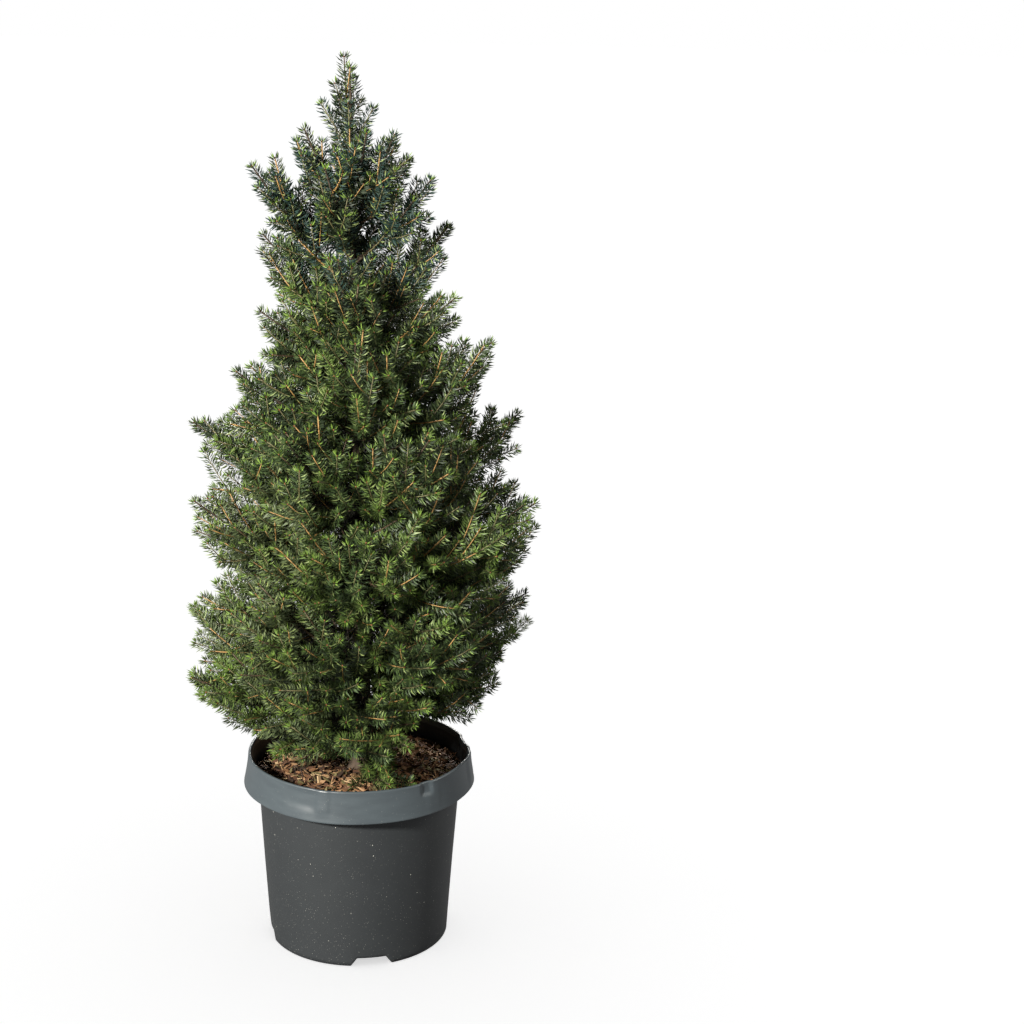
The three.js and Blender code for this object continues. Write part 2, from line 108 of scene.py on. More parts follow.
# One arithmetic step on two terms, each a number or another node's output.
def arithmetic(tree, operation, first, second):
    settings, links = {"operation": operation}, {}
    for i, term in enumerate((first, second)):
        (settings if isinstance(term, float) else links)[i] = term
    return addNode(tree, "ShaderNodeMath", settings, links).outputs[0]


# A blend of two colours, each a hex or another node's output.
def blend(tree, amount, first, second):
    settings, links = {}, {"Fac": amount}
    for key, colour in (("Color1", first), ("Color2", second)):
        if isinstance(colour, str):
            settings[key] = linear(colour)
        else:
            links[key] = colour
    return addNode(tree, "ShaderNodeMixRGB", settings, links).outputs["Color"]


def noise(tree, place, size, detail, roughness=0.5):
    settings = {"Scale": 1 / size, "Detail": detail, "Roughness": roughness}
    return addNode(tree, "ShaderNodeTexNoise", settings, {"Vector": place}).outputs["Fac"]


# Puts a colour, and a bump of the given strength and depth, on a shader.
def dress(tree, shader, colour, height, strength, depth):
    bump = addNode(tree, "ShaderNodeBump", {"Strength": strength, "Distance": depth}, {"Height": height})
    tree.links.new(colour, shader.inputs["Base Color"])
    tree.links.new(bump.outputs["Normal"], shader.inputs["Normal"])


# The piece's own place in metres, stretched by scale.
def placeIn(tree, scale=None):
    place = addNode(tree, "ShaderNodeTexCoord").outputs["Object"]
    if scale is None:
        return place
    return addNode(tree, "ShaderNodeMapping", {"Scale": scale}, {"Vector": place}).outputs["Vector"]


# A mesh from arrays. faces is a list of arrays with one face a row, and faceMaterials has an
# array of material numbers for each of them. It rides the root body and stands for the nodes
# under stands.
def addPiece(name, points, faces, materials, stands=(), faceMaterials=None, smooth=True):
    mesh = bpy.data.meshes.new(name)
    mesh.vertices.add(len(points))
    mesh.vertices.foreach_set("co", np.asarray(points, np.float32).ravel())
    corners = np.concatenate([f.ravel() for f in faces]).astype(np.int32)
    sizes = np.concatenate([np.full(len(f), f.shape[1]) for f in faces]).astype(np.int32)
    mesh.loops.add(len(corners))
    mesh.loops.foreach_set("vertex_index", corners)
    mesh.polygons.add(len(sizes))
    mesh.polygons.foreach_set("loop_start", (np.cumsum(sizes) - sizes).astype(np.int32))
    if faceMaterials is not None:
        mesh.polygons.foreach_set("material_index", np.concatenate(faceMaterials).astype(np.int32))
    mesh.polygons.foreach_set("use_smooth", np.full(len(sizes), smooth))
    mesh.update(calc_edges=True)
    for material in materials:
        mesh.materials.append(material)
    piece = bpy.data.objects.new(name, mesh)
    bpy.context.scene.collection.objects.link(piece)
    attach(piece, "root")
    if stands:
        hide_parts(*stands)
    return piece


# Quads between the rows and columns of a grid, its columns joined round.
def gridFaces(rows, columns):
    row, column = np.meshgrid(np.arange(rows - 1), np.arange(columns), indexing="ij")
    right = (column + 1) % columns
    quads = np.stack([row * columns + column, row * columns + right,
                      (row + 1) * columns + right, (row + 1) * columns + column], -1)
    return quads.reshape(-1, 4)


# Triangles that close a grid's first or last row to one point.
def fanFaces(row, columns, pole, flip):
    column = np.arange(columns)
    ring = row * columns + column
    beside = row * columns + (column + 1) % columns
    order = [beside, ring] if flip else [ring, beside]
    return np.stack([*order, np.full(columns, pole)], -1)


# The faces of a grid closed at each end by a point. The two points follow the grid's own.
def closedGrid(rows, columns):
    pole = rows * columns
    ends = [fanFaces(0, columns, pole, True), fanFaces(rows - 1, columns, pole + 1, False)]
    return [gridFaces(rows, columns), np.concatenate(ends)]


# The same faces for each of count copies of a shape with this many points.
def repeated(faces, count, points):
    return (faces[None] + (np.arange(count) * points)[:, None, None]).reshape(-1, faces.shape[1])


def anglesRound(count):
    return np.arange(count) * 2 * np.pi / count


def unit(vectors):
    return vectors / np.maximum(np.linalg.norm(vectors, axis=-1, keepdims=True), 1e-12)


# Smooth uneven field from -1 to 1: a sum of sines whose waves run in random directions.
def ripples(points, size, seed, waves=5):
    random = np.random.default_rng(seed)
    directions = unit(random.normal(size=(waves, 3)))
    stretch = random.uniform(0.7, 1.5, waves) * 2 * np.pi / size
    phases = random.uniform(0, 2 * np.pi, waves)
    return np.sin(points @ (directions * stretch[:, None]).T + phases).mean(-1) * 1.6


# A CAD node's corners and triangles.
def nodeArrays(name):
    mesh = nodes[name].data
    points = np.empty(len(mesh.vertices) * 3, np.float32)
    mesh.vertices.foreach_get("co", points)
    mesh.calc_loop_triangles()
    triangles = np.empty(len(mesh.loop_triangles) * 3, np.int32)
    mesh.loop_triangles.foreach_get("vertices", triangles)
    return points.reshape(-1, 3).astype(float), triangles.reshape(-1, 3)


def treeOf(names):
    allPoints, allTriangles, count = [], [], 0
    for name in names:
        points, triangles = nodeArrays(name)
        allPoints.append(points)
        allTriangles.append(triangles + count)
        count += len(points)
    return BVHTree.FromPolygons(np.concatenate(allPoints).tolist(), np.concatenate(allTriangles).tolist())


# The CAD trunk's rings: their heights, centres and mean radii.
def trunkRings():
    points = np.unique(np.round(nodeArrays("trunk")[0], 5), axis=0)
    heights, ring = np.unique(np.round(points[:, 2], 4), return_inverse=True)
    size = np.bincount(ring)
    centres = np.stack([np.bincount(ring, points[:, k]) / size for k in range(3)], -1)
    out = np.linalg.norm(points - centres[ring], axis=1)
    full = size > 5
    radii = np.bincount(ring, out) / size
    return heights[full], centres[full], radii[full]


ringHeights, ringCentres, ringRadii = trunkRings()


# Centre of the trunk at any height, straight between the CAD's rings.
def trunkCentre(height):
    across = [np.interp(height, ringHeights, ringCentres[:, k]) for k in (0, 1)]
    return np.stack([*across, np.asarray(height, float)], -1)


# A limb's line is start + length * (t * heading + t^2 * lift * up), with t from 0 to 1, so it
# leaves along its heading and turns up towards its tip.

def limbPoint(limbs, which, share):
    along = share[..., None] * limbs["heading"][which]
    bend = (share ** 2 * limbs["lift"][which])[..., None] * up
    return limbs["start"][which] + limbs["length"][which][..., None] * (along + bend)


def limbTangent(limbs, which, share):
    return unit(limbs["heading"][which] + (2 * share * limbs["lift"][which])[..., None] * up)


# The level direction square to a limb, which stays square to it all along.
def limbSide(heading):
    level = np.stack([-heading[..., 1], heading[..., 0], np.zeros(heading.shape[:-1])], -1)
    steep = np.linalg.norm(level, axis=-1, keepdims=True) < 1e-3
    return unit(np.where(steep, np.array([1.0, 0.0, 0.0]), level))


# cos(turn) * side + sin(turn) * over: the direction square to a limb at a turn round it.
def squareTo(along, turn):
    side = limbSide(along)
    return np.cos(turn)[:, None] * side + np.sin(turn)[:, None] * np.cross(along, side)


def chosen(limbs, keep):
    return {key: value[keep] for key, value in limbs.items()}


def joined(groups):
    return {key: np.concatenate([g[key] for g in groups]) for key in groups[0]}


growth = {
    "seed": 4417,
    "limbLift": 0.16,               # how much a main limb turns up
    "strewn": 5 * mm,               # spacing of the places that tips are picked from
    "crowd": (22 * mm, 30 * mm),    # room that a tip claims at the surface and deep down
    "deep": 85 * mm,                # past this depth the shade kills every shoot
    "inset": (9 * mm, 22 * mm),     # how far under the crown's surface most tips stop
    "proud": (0.2, -3 * mm, 6 * mm),  # the share of tips that run further, and how far under those stop
    # a gap right of the trunk under the first spires, seen level with a fall of 1 in 8 to the back
    "window": {"x": (-5 * mm, 11 * mm), "z": (858 * mm, 904 * mm), "fall": 0.125},
    # shoots close a gap between masses up to this wide, below and above these shares of the crown
    "seam": (60 * mm, 14 * mm),
    "seamAt": (0.6, 0.76),
    "lift": (0.12, 0.28),           # how much a shoot turns up, low down and at the top
    # degrees above level that shoots lean, at these shares of the crown's height
    "climb": (8, 30, 52, 74),
    "climbAt": (0, 0.2, 0.55, 1),
    "stray": 0.34,                  # how far single shoots stray from that lean
    # forks, branches and shoots: the share of the tips that each wins, the angle off the parent
    # and the length that suit it, and the part of the parent that it may stand on
    "orders": [
        {"share": 0.12, "angle": 36, "reach": 105 * mm, "from": 0.0, "to": 0.75},
        {"share": 0.34, "angle": 42, "reach": 72 * mm, "from": 0.12, "to": 0.9},
        {"share": 1.0, "angle": 42, "reach": 50 * mm, "from": 0.2, "to": 0.93},
    ],
    "spots": 14,                    # places tried along each parent
    "tolerance": (28, 38),          # degrees off the angle and the lean that count like a doubled length
    "underside": 22 * mm,           # tips stop this much further in where the crown faces down
    "topReach": 0.55,               # shoots at the very top are this much of the rule's length
    # sprays that trail over the soil in front: where they end, how far they are strewn, how many
    "trailing": [((-0.080, -0.044, 0.252), 0.022, 11), ((-0.012, -0.078, 0.272), 0.034, 10)],
    "trailSpread": [1, 0.7, 0.35],  # that strewing's share across, to the back and upwards
    "young": 0.56,                  # above this share of the crown, limbs and trunk keep all their needles
    "innerStep": (15 * mm, 11 * mm),  # between the shoots near the trunk, on old and young wood
    "innerLength": (28 * mm, 55 * mm),
    "innerAngle": (38, 58),
}


# One main limb for each mass, from the trunk to the mass's far tip. It follows the mass's bough.
# Where there is none, the point of the mass nearest the trunk is carried back along the line
# from the tip. The leader's limb is the trunk's own end.
def mainLimbs():
    near = 4 * mm
    buried = 8 * mm
    starts, tips = [], []
    for name in massNames:
        points = nodeArrays(name)[0]
        off = np.linalg.norm((points - trunkCentre(points[:, 2]))[:, :2], axis=1)
        bough = name.replace("mass_", "bough_")
        inner = points[off.argmin()]
        if bough in nodes:
            rod = nodeArrays(bough)[0]
            rodOff = np.linalg.norm((rod - trunkCentre(rod[:, 2]))[:, :2], axis=1)
            inner = rod[rodOff >= rodOff.max() - near].mean(0)
            root = rod[rodOff <= rodOff.min() + near].mean(0)
        tip = points[np.linalg.norm(points - inner, axis=1).argmax()]
        if name == "mass_leader":
            inner = root = trunkCentre(points[:, 2].min() + buried)
        elif bough not in nodes:
            back = np.linalg.norm((inner - trunkCentre(inner[2]))[:2])
            out = np.linalg.norm((tip - inner)[:2])
            root = inner - (tip - inner) * back / max(out, 1e-3)
            root = trunkCentre(max(root[2], ringHeights[0] + buried))
        starts.append(root)
        tips.append(tip)
    start, tip = np.array(starts), np.array(tips)
    chord = tip - start
    span = np.linalg.norm(chord, axis=1)
    upright = np.array([name == "mass_leader" for name in massNames])
    lift = np.where(upright, 0, growth["limbLift"])
    flat = chord - (lift * span)[:, None] * up
    length = np.linalg.norm(flat, axis=1)
    count = len(massNames)
    return {
        "start": start, "heading": unit(flat), "length": length, "lift": lift * span / length,
        "mass": np.arange(count), "spray": np.arange(count), "order": np.zeros(count, int),
    }


crownFoot = min(nodeArrays(name)[0][:, 2].min() for name in massNames)
crownTop = cadBox[1].z
crownTree = treeOf(massNames)
farAway = 1.0      # metres: further than the crown is deep from any side


# How high a point stands in the crown, from 0 to 1.
def crownShare(points):
    return np.clip((points[..., 2] - crownFoot) / (crownTop - crownFoot), 0, 1)


# Distance from each point along its direction to the next mass, infinite where there is none.
def distanceAhead(points, directions):
    casts = [crownTree.ray_cast(p, d)[3] for p, d in zip(points.tolist(), directions.tolist())]
    return np.array([math.inf if distance is None else distance for distance in casts])


# How deep each point lies in the whole crown: the least of its depths seen from several sides.
def depthInCrown(points):
    out = unit((points - trunkCentre(points[:, 2])) * [1, 1, 0])
    across = np.cross(up, out)
    sides = [out, unit(out + up), unit(out - 0.7 * up), unit(out + 1.2 * across), unit(out - 1.2 * across)]
    depth = np.full(len(points), farAway)
    for side in sides:
        distance = distanceAhead(points + farAway * side, -side)
        inside = np.maximum(farAway - distance, 0)
        depth = np.where(np.isinf(distance), depth, np.minimum(depth, inside))
    return depth


# Whether each point would close the gap that shows sky.
def inWindow(points):
    window = growth["window"]
    height = points[:, 2] + window["fall"] * points[:, 1]
    across = points[:, 0]
    return ((across > window["x"][0]) & (across < window["x"][1])
            & (height > window["z"][0]) & (height < window["z"][1]))


# Which places to keep so that every tip has its own room. The deeper it lies, the more it needs.
# The places nearest the surface choose first, and those too deep go.
def thinned(places, random):
    depth = depthInCrown(places)
    room = np.interp(depth, [10 * mm, growth["deep"]], growth["crowd"])
    room = room * random.uniform(0.85, 1.25, len(places))
    cell = growth["crowd"][1]
    keep = np.zeros(len(places), bool)
    taken = {}
    for i in np.argsort(depth + random.uniform(0, 12 * mm, len(depth))).tolist():
        if depth[i] > growth["deep"]:
            continue
        x, y, z = np.floor(places[i] / cell).astype(int).tolist()
        near = [t for dx in (-1, 0, 1) for dy in (-1, 0, 1) for dz in (-1, 0, 1)
                for t in taken.get((x + dx, y + dy, z + dz), ())]
        if near and (((places[near] - places[i]) ** 2).sum(1) < room[i] ** 2).any():
            continue
        keep[i] = True
        taken.setdefault((x, y, z), []).append(i)
    return keep


# Places for the shoots' tips: points strewn over the masses' skins by area. Each is drawn in a
# little, or where another mass stands close, let out into the seam between them. They are then
# thinned, and the trailing sprays' tips join them.
def scatterTips(random):
    places, owners = [], []
    for mass, name in enumerate(massNames):
        points, triangles = nodeArrays(name)
        a, b, c = (points[triangles[:, k]] for k in range(3))
        cross = np.cross(b - a, c - a)
        area = np.linalg.norm(cross, axis=1)
        count = int(area.sum() / 2 / growth["strewn"] ** 2)
        face = random.choice(len(area), count, p=area / area.sum())
        r, t = np.sqrt(random.random(count)), random.random(count)
        spot = (1 - r)[:, None] * a[face] + (r * (1 - t))[:, None] * b[face] + (r * t)[:, None] * c[face]
        outwards = unit(cross)[face]
        seam = np.interp(crownShare(spot), growth["seamAt"], growth["seam"])
        gap = np.minimum(distanceAhead(spot + 0.5 * mm * outwards, outwards), farAway)
        share, least, most = growth["proud"]
        proud = random.random(count) < share
        under = np.where(proud, random.uniform(least, most, count), random.uniform(*growth["inset"], count))
        under = under + growth["underside"] * np.clip(-outwards[:, 2], 0, 1)
        stand = np.where(gap < seam, random.uniform(0, 0.55, count) * gap, -under)
        places.append(spot + stand[:, None] * outwards)
        owners.append(np.full(count, mass))
    places, owners = np.concatenate(places), np.concatenate(owners)
    places, owners = places[~inWindow(places)], owners[~inWindow(places)]
    keep = thinned(places, random)
    places, owners = places[keep], owners[keep]
    for centre, strewn, count in growth["trailing"]:
        spots = np.array(centre) + strewn * random.uniform(-1, 1, (count, 3)) * growth["trailSpread"]
        nearest = np.linalg.norm(spots[:, None] - places[None], axis=-1).argmin(1)
        owners = np.concatenate([owners, owners[nearest]])
        places = np.concatenate([places, spots])
    return places, owners


# Farthest-first order: each next point is the one farthest from all before it.
def spreadOrder(points):
    order = [0]
    away = np.linalg.norm(points - points[0], axis=1)
    for _ in range(len(points) - 1):
        order.append(int(away.argmax()))
        away = np.minimum(away, np.linalg.norm(points - points[order[-1]], axis=1))
    return np.array(order)


# The way that a shoot at each place leans: out from the trunk and up by the climb at its height.
def leaning(places):
    out = unit((places - trunkCentre(places[:, 2])) * [1, 1, 0])
    climb = np.radians(np.interp(crownShare(places), growth["climbAt"], growth["climb"]))[:, None]
    return np.cos(climb) * out + np.sin(climb) * up


# A spray is a fork with all that grows on it, and wears much the same green. Its number comes
# after those of the main limbs, with a thousand to each mass.
def forkSpray(mass, fork):
    return 100 * len(massNames) + 1000 * mass + fork


# Joins each tip to the limb that suits it: of all the spots on the limbs there are, the one where
# the new limb's length and its angle off the parent come nearest to the rule's, and where it
# leans the right way.
def growTo(tips, parents, rule, random, order):
    steps = growth["spots"]
    count = len(parents["length"])
    owner = np.repeat(np.arange(count), steps)
    share = np.tile(np.linspace(rule["from"], rule["to"], steps), count)
    spots = limbPoint(parents, owner, share)
    along = limbTangent(parents, owner, share)
    chord = tips[:, None, :] - spots[None]
    span = np.linalg.norm(chord, axis=-1)
    angle = np.degrees(np.arccos(np.clip((chord * along[None]).sum(-1) / span, -1, 1)))
    wanted = unit(leaning(tips) + growth["stray"] * random.normal(size=tips.shape))
    lean = np.degrees(np.arccos(np.clip((chord * wanted[:, None]).sum(-1) / span, -1, 1)))
    reach = rule["reach"] * np.interp(crownShare(tips), [0.7, 1], [1, growth["topReach"]])[:, None]
    angleRoom, leanRoom = growth["tolerance"]
    cost = np.abs(span / reach - 1) + np.abs(angle - rule["angle"]) / angleRoom + lean / leanRoom
    cost += random.uniform(0, 0.25, cost.shape)
    best = cost.argmin(1)
    start = spots[best]
    chord = tips - start
    span = np.linalg.norm(chord, axis=1)
    lift = np.interp(crownShare(tips), [0, 1], growth["lift"]) * random.uniform(0.4, 1.5, len(tips)) * span
    flat = chord - lift[:, None] * up
    length = np.linalg.norm(flat, axis=1)
    mass = parents["mass"][0]
    spray = parents["spray"][owner[best]] if order > 1 else forkSpray(mass, np.arange(len(tips)))
    return {
        "start": start, "heading": unit(flat), "length": length, "lift": lift / length,
        "mass": np.full(len(tips), mass), "spray": spray, "order": np.full(len(tips), order),
    }


# Every mass's limbs: its main limb, then forks to the widest spread tips, branches to the next,
# and a shoot to each of the rest.
def growMass(main, tips, random):
    tips = tips[spreadOrder(tips)]
    grown = [main]
    done = 0
    for order, rule in enumerate(growth["orders"], start=1):
        upTo = max(done + 1, round(rule["share"] * len(tips)))
        some = tips[done:upTo]
        if len(some):
            grown.append(growTo(some, joined(grown), rule, random, order))
        done = upTo
    return joined(grown)


# Short shoots that clothe the wood between the trunk and each mass, and along the trunk itself.
# They stand at innerStep apart, turned by the golden angle each time.
def growInner(mains, random):
    starts, headings, owners = [], [], []
    steps = np.where(crownShare(mains["start"]) > growth["young"], *growth["innerStep"][::-1])
    for i, step in enumerate(steps):
        share = np.arange(0.5 * step, 0.6 * mains["length"][i], step) / mains["length"][i]
        which = np.full(len(share), i)
        starts.append(limbPoint(mains, which, share))
        headings.append(limbTangent(mains, which, share))
        owners.append(mains["mass"][which])
    low, high = crownFoot + 30 * mm, crownFoot + 0.9 * (crownTop - crownFoot)
    heights = np.arange(low, high, 0.7 * growth["innerStep"][1])
    starts.append(trunkCentre(heights))
    headings.append(np.broadcast_to(up, (len(heights), 3)))
    owners.append(np.full(len(heights), massNames.index("mass_leader")))
    start, along, mass = np.concatenate(starts), np.concatenate(headings), np.concatenate(owners)
    count = len(start)
    outwards = squareTo(along, goldenAngle * np.arange(count))
    angle = np.radians(random.uniform(*growth["innerAngle"], count))[:, None]
    inner = {
        "start": start, "heading": unit(np.cos(angle) * along + np.sin(angle) * outwards),
        "length": random.uniform(*growth["innerLength"], count), "lift": np.full(count, 0.2),
        "mass": mass, "spray": forkSpray(len(massNames), np.arange(count)), "order": np.full(count, 3),
    }
    which = np.arange(count)
    middle, end = (limbPoint(inner, which, np.full(count, share)) for share in (0.5, 1.0))
    return chosen(inner, ~inWindow(middle) & ~inWindow(end))


def growLimbs():
    random = np.random.default_rng(growth["seed"])
    mains = mainLimbs()
    tips, tipMasses = scatterTips(random)
    grown = [growMass(chosen(mains, mains["mass"] == mass), tips[tipMasses == mass], random)
             for mass in range(len(massNames)) if (tipMasses == mass).any()]
    limbs = joined([*grown, growInner(mains, random)])
    limbs["spray"] = np.unique(limbs["spray"], return_inverse=True)[1]
    return limbs


print("growing the limbs")
limbs = growLimbs()
everyLimb = np.arange(len(limbs["length"]))
tipDepth = depthInCrown(limbPoint(limbs, everyLimb, np.full(len(everyLimb), 0.8)))
print("limbs by order", np.bincount(limbs["order"]).tolist(), "mean length in mm",
      [round(float(limbs["length"][limbs["order"] == k].mean() / mm)) for k in range(4)])


# Tapering closed tubes: rings of points round each limb's line, at
# line(t) + radius(t) * (cos(a) * side + sin(a) * over), closed by a point at each end. relief
# pushes the skin in and out by that share of the radius.
def tubes(limbs, footRadius, tipRadius, rings, sides, taper=1.0, relief=0.0):
    count = len(limbs["length"])
    which = np.repeat(np.arange(count), rings).reshape(count, rings)
    share = np.broadcast_to(np.linspace(0, 1, rings), (count, rings))
    centre = limbPoint(limbs, which, share)
    tangent = limbTangent(limbs, which, share)
    side = limbSide(limbs["heading"])[:, None, :] * np.ones((1, rings, 1))
    over = np.cross(tangent, side)
    turn = anglesRound(sides)
    radius = footRadius[:, None] + (tipRadius - footRadius)[:, None] * share ** taper
    spoke = (np.cos(turn)[:, None] * side[:, :, None, :] + np.sin(turn)[:, None] * over[:, :, None, :])
    skin = centre[:, :, None, :] + radius[:, :, None, None] * spoke
    if relief:
        skin += relief * radius[:, :, None, None] * spoke * ripples(skin, 6 * mm, 5)[..., None]
    points = np.concatenate([skin.reshape(count, rings * sides, 3), centre[:, :1], centre[:, -1:]], 1)
    faces = [repeated(each, count, rings * sides + 2) for each in closedGrid(rings, sides)]
    return points.reshape(-1, 3), faces


barkLook = {
    "deep": "#271c14",
    "ridge": "#46362a",
    "grey": "#4b4238",
    "flake": 5 * mm,      # width of the small scales that an old spruce stem sheds
}


# Thin scaly bark of a young spruce: brown furrows between lighter, greyer plates.
def barkMaterial():
    material, tree, shader = newMaterial("sprucebark_scaly", {"Roughness": 0.9, "Specular IOR Level": 0.25})
    place = placeIn(tree, (1, 1, 0.4))
    plates = addNode(tree, "ShaderNodeTexVoronoi", {"Scale": 1 / barkLook["flake"]}, {"Vector": place})
    grain = noise(tree, place, barkLook["flake"] / 2, 5.0)
    ramp = addNode(tree, "ShaderNodeValToRGB", links={"Fac": plates.outputs["Distance"]})
    ramp.color_ramp.elements[0].color = linear(barkLook["ridge"])
    ramp.color_ramp.elements[1].color = linear(barkLook["deep"])
    dress(tree, shader, blend(tree, grain, ramp.outputs["Color"], barkLook["grey"]), grain, 0.6, 0.8 * mm)
    return material


trunkShape = {
    "rings": 260,
    "sides": 36,
    "scaleDepth": 0.9 * mm,
    "ridges": 5,
    "ridgeDepth": 2.5 * mm,
    "ridgeHeight": 9 * mm,    # over which the ridges of the foot die away
}


# The trunk: rings round the CAD trunk's line at its radius, with bark scales that stand out by
# scaleDepth, less on thin wood, and a foot with ridges that die away as exp(-height / ridgeHeight).
def buildTrunk(bark):
    shape = trunkShape
    rings, sides = shape["rings"], shape["sides"]
    height = ringHeights[0] + (ringHeights[-1] - ringHeights[0]) * np.linspace(0, 1, rings)
    turn = anglesRound(sides)
    radius = np.interp(height, ringHeights, ringRadii)[:, None] * np.ones(sides)
    fading = np.exp(-(height - height[0]) / shape["ridgeHeight"])[:, None]
    ridge = fading * np.cos(shape["ridges"] * turn + 0.7)
    spoke = np.stack([np.cos(turn), np.sin(turn), 0 * turn], -1)
    skin = trunkCentre(height)[:, None, :] + radius[..., None] * spoke
    scales = ripples(skin * [1, 1, 0.45], 5 * mm, 21) + 0.5 * ripples(skin * [1, 1, 0.5], 2.4 * mm, 22)
    depth = shape["scaleDepth"] * np.clip(radius / (6 * mm), 0.2, 1)
    skin += ((depth * (scales - 0.7)) + shape["ridgeDepth"] * ridge)[..., None] * spoke
    points = np.concatenate([skin.reshape(-1, 3), trunkCentre(height[[0, -1]])])
    addPiece("trunk_bark", points, closedGrid(rings, sides), [bark], ["trunk"])


# Each mass's main limb, thick where it leaves the trunk and fine at its tip, and thicker the
# longer it is. The leader's limb is the trunk itself.
def buildBoughs(bark):
    mains = chosen(limbs, (limbs["order"] == 0) & (limbs["mass"] != massNames.index("mass_leader")))
    foot = np.interp(mains["length"], [60 * mm, 240 * mm], [2.2 * mm, 4.6 * mm])
    points, faces = tubes(mains, foot, np.full(len(foot), 0.9 * mm), 40, 9, 0.8, 0.12)
    addPiece("boughs_bark", points, faces, [bark], boughNames)


print("trunk and boughs")
bark = barkMaterial()
buildTrunk(bark)
buildBoughs(bark)

twigLook = {
    "colours": ["#987543", "#5b5535", "#4d3d2b", "#2c231b"],   # tan young bark, green bark, older wood, the darkest partly painted shade
    "tan": 0.38,                 # the share of shoots with tan bark
    # rings along each, and the radius at its foot and tip
    "kinds": {
        "forks": (5, 2.0 * mm, 0.7 * mm),
        "branches": (4, 1.2 * mm, 0.6 * mm),
        "shoots": (4, 0.8 * mm, 0.5 * mm),
    },
    "ageAndShadeDepth": 30 * mm,         # the bark is a step older and darker for each such depth in the crown: older wood, and painted shade
    "bud": 2.6 * mm,
    "budColour": "#7a4a2c",
    "budDepth": 40 * mm,         # shoots nearer the surface than this end in a bud
}


# The twigs by order, as square tubes, each with one bark colour by its depth and by chance. Deeper twigs
# are darker, partly for older wood and partly as painted shade.
def buildTwigs():
    random = np.random.default_rng(growth["seed"] + 2)
    wood = [plainMaterial(f"spruce_shoot_{i}", c, 0.6) for i, c in enumerate(twigLook["colours"])]
    for order, (name, (rings, foot, tip)) in enumerate(twigLook["kinds"].items(), start=1):
        which = limbs["order"] == order
        count = int(which.sum())
        points, faces = tubes(chosen(limbs, which), np.full(count, foot), np.full(count, tip), rings, 4)
        # deeper twigs take darker bark: older wood, and painted shade
        older = np.clip((tipDepth[which] / twigLook["ageAndShadeDepth"]).astype(int) + 1 + (order == 1), 1, 3)
        tan = (random.random(count) < twigLook["tan"]) & (older < 3)
        shade = np.where(tan, 0, older)
        shades = [np.repeat(shade, len(each) // count) for each in faces]
        addPiece(f"twigs_{name}", points, faces, wood, (), shades)


# A bud on every shoot near the surface: a closed six-cornered spindle on the shoot's end.
def buildBuds():
    which = everyLimb[tipDepth < twigLook["budDepth"]]
    end = limbPoint(limbs, which, np.ones(len(which)))
    along = limbTangent(limbs, which, np.ones(len(which)))
    side = limbSide(along)
    over = np.cross(along, side)
    size = twigLook["bud"]
    corners = [end - 0.2 * size * along, end + size * along]
    corners += [end + 0.35 * size * (along + 1.2 * s) for s in (side, over, -side, -over)]
    points = np.stack(corners, 1).reshape(-1, 3)
    shape = np.array([[0, 3, 2], [0, 4, 3], [0, 5, 4], [0, 2, 5],
                      [1, 2, 3], [1, 3, 4], [1, 4, 5], [1, 5, 2]])
    material = plainMaterial("spruce_bud", twigLook["budColour"], 0.5)
    addPiece("buds", points, [repeated(shape, len(which), len(corners))], [material])


print("twigs and buds")
buildTwigs()
buildBuds()

needleLook = {
    "length": 12.8 * mm,
    "halfWidth": 0.47 * mm,
    "bow": 0.12,             # how far the middle stands off the chord, as a share of the length
    "rise": 0.12,            # how much every needle turns up
    "spread": (78, 55),      # degrees off the shoot at its foot and near its tip
    "stray": 6,              # degrees that single needles stray from that
    "target": 205000,
    "leafy": 62 * mm,        # needles stay on this much of a branch's outer end
    "leafyOld": 60 * mm,     # and on this much of a main limb low in the crown
    "fadeDepth": (24 * mm, 80 * mm),
    "shaded": 0.22,          # needles that even the deepest shoot keeps, as a share
    "broad": 2.2,            # deep needles are this much broader, so that few of them close the view; the deepest, in the near-black green, make a dark screen of painted shade
    "crowding": 0.78,        # below 1 packs the needles towards the shoot's tip
    # the rosette at each shoot's tip: needles in it, degrees off the shoot, share that is fresh
    "tuft": 15,
    "tuftSpread": (12, 74),
    "tuftFresh": 0.45,
    "tuftDepth": 50 * mm,    # deeper shoots have none
    "interiorShadeDepth": 45 * mm,     # deeper shoots wear a near-black green, painted shade of the crown's inside
    "greens": {
        "deep_green": "#232e1b",
        "mid_green": "#354524",
        "lit_side_grey_green": "#4e593b",
        "blue_green": "#223630",
        "sunlit_green": "#4f622e",
        "fresh_green": "#637c33",
        "interior_shade_green": "#171711",
        "pale_green": "#727f4c",
    },
    "paleShare": 0.13,       # single needles in any spray that turn their pale side, or are dark
    "darkShare": 0.24,
}
# old is the near-black green of painted shade deep in the crown
deep, mid, grey, blue, sunlit, fresh, old, pale = range(len(needleLook["greens"]))


# Which green each limb wears: by its depth, where the deepest wear a near-black green that is painted
# shade, by its height and side, and chance by spray.
def limbGreens(random):
    place = limbPoint(limbs, everyLimb, np.ones(len(everyLimb)))
    height = crownShare(place)
    spire = height > 0.72
    # low on the left, the key lamp's side, a paler grey-green is painted sheen
    litGreySide = (place[:, 0] < -60 * mm) & (height < 0.45)
    sprayChance = random.random(limbs["spray"].max() + 1)[limbs["spray"]]
    chance = 0.6 * sprayChance + 0.4 * random.random(len(everyLimb)) + 0.3 * (0.42 - height)
    green = np.select([chance < 0.28, chance < 0.66], [deep, mid], sunlit)
    green = np.where(spire, np.select([chance < 0.5, chance < 0.75], [blue, deep], mid), green)
    green = np.where(litGreySide & (chance < 0.7), grey, green)
    # shoots deep in the crown take the near-black green: painted shade
    return np.where(tipDepth > needleLook["interiorShadeDepth"], old, green)


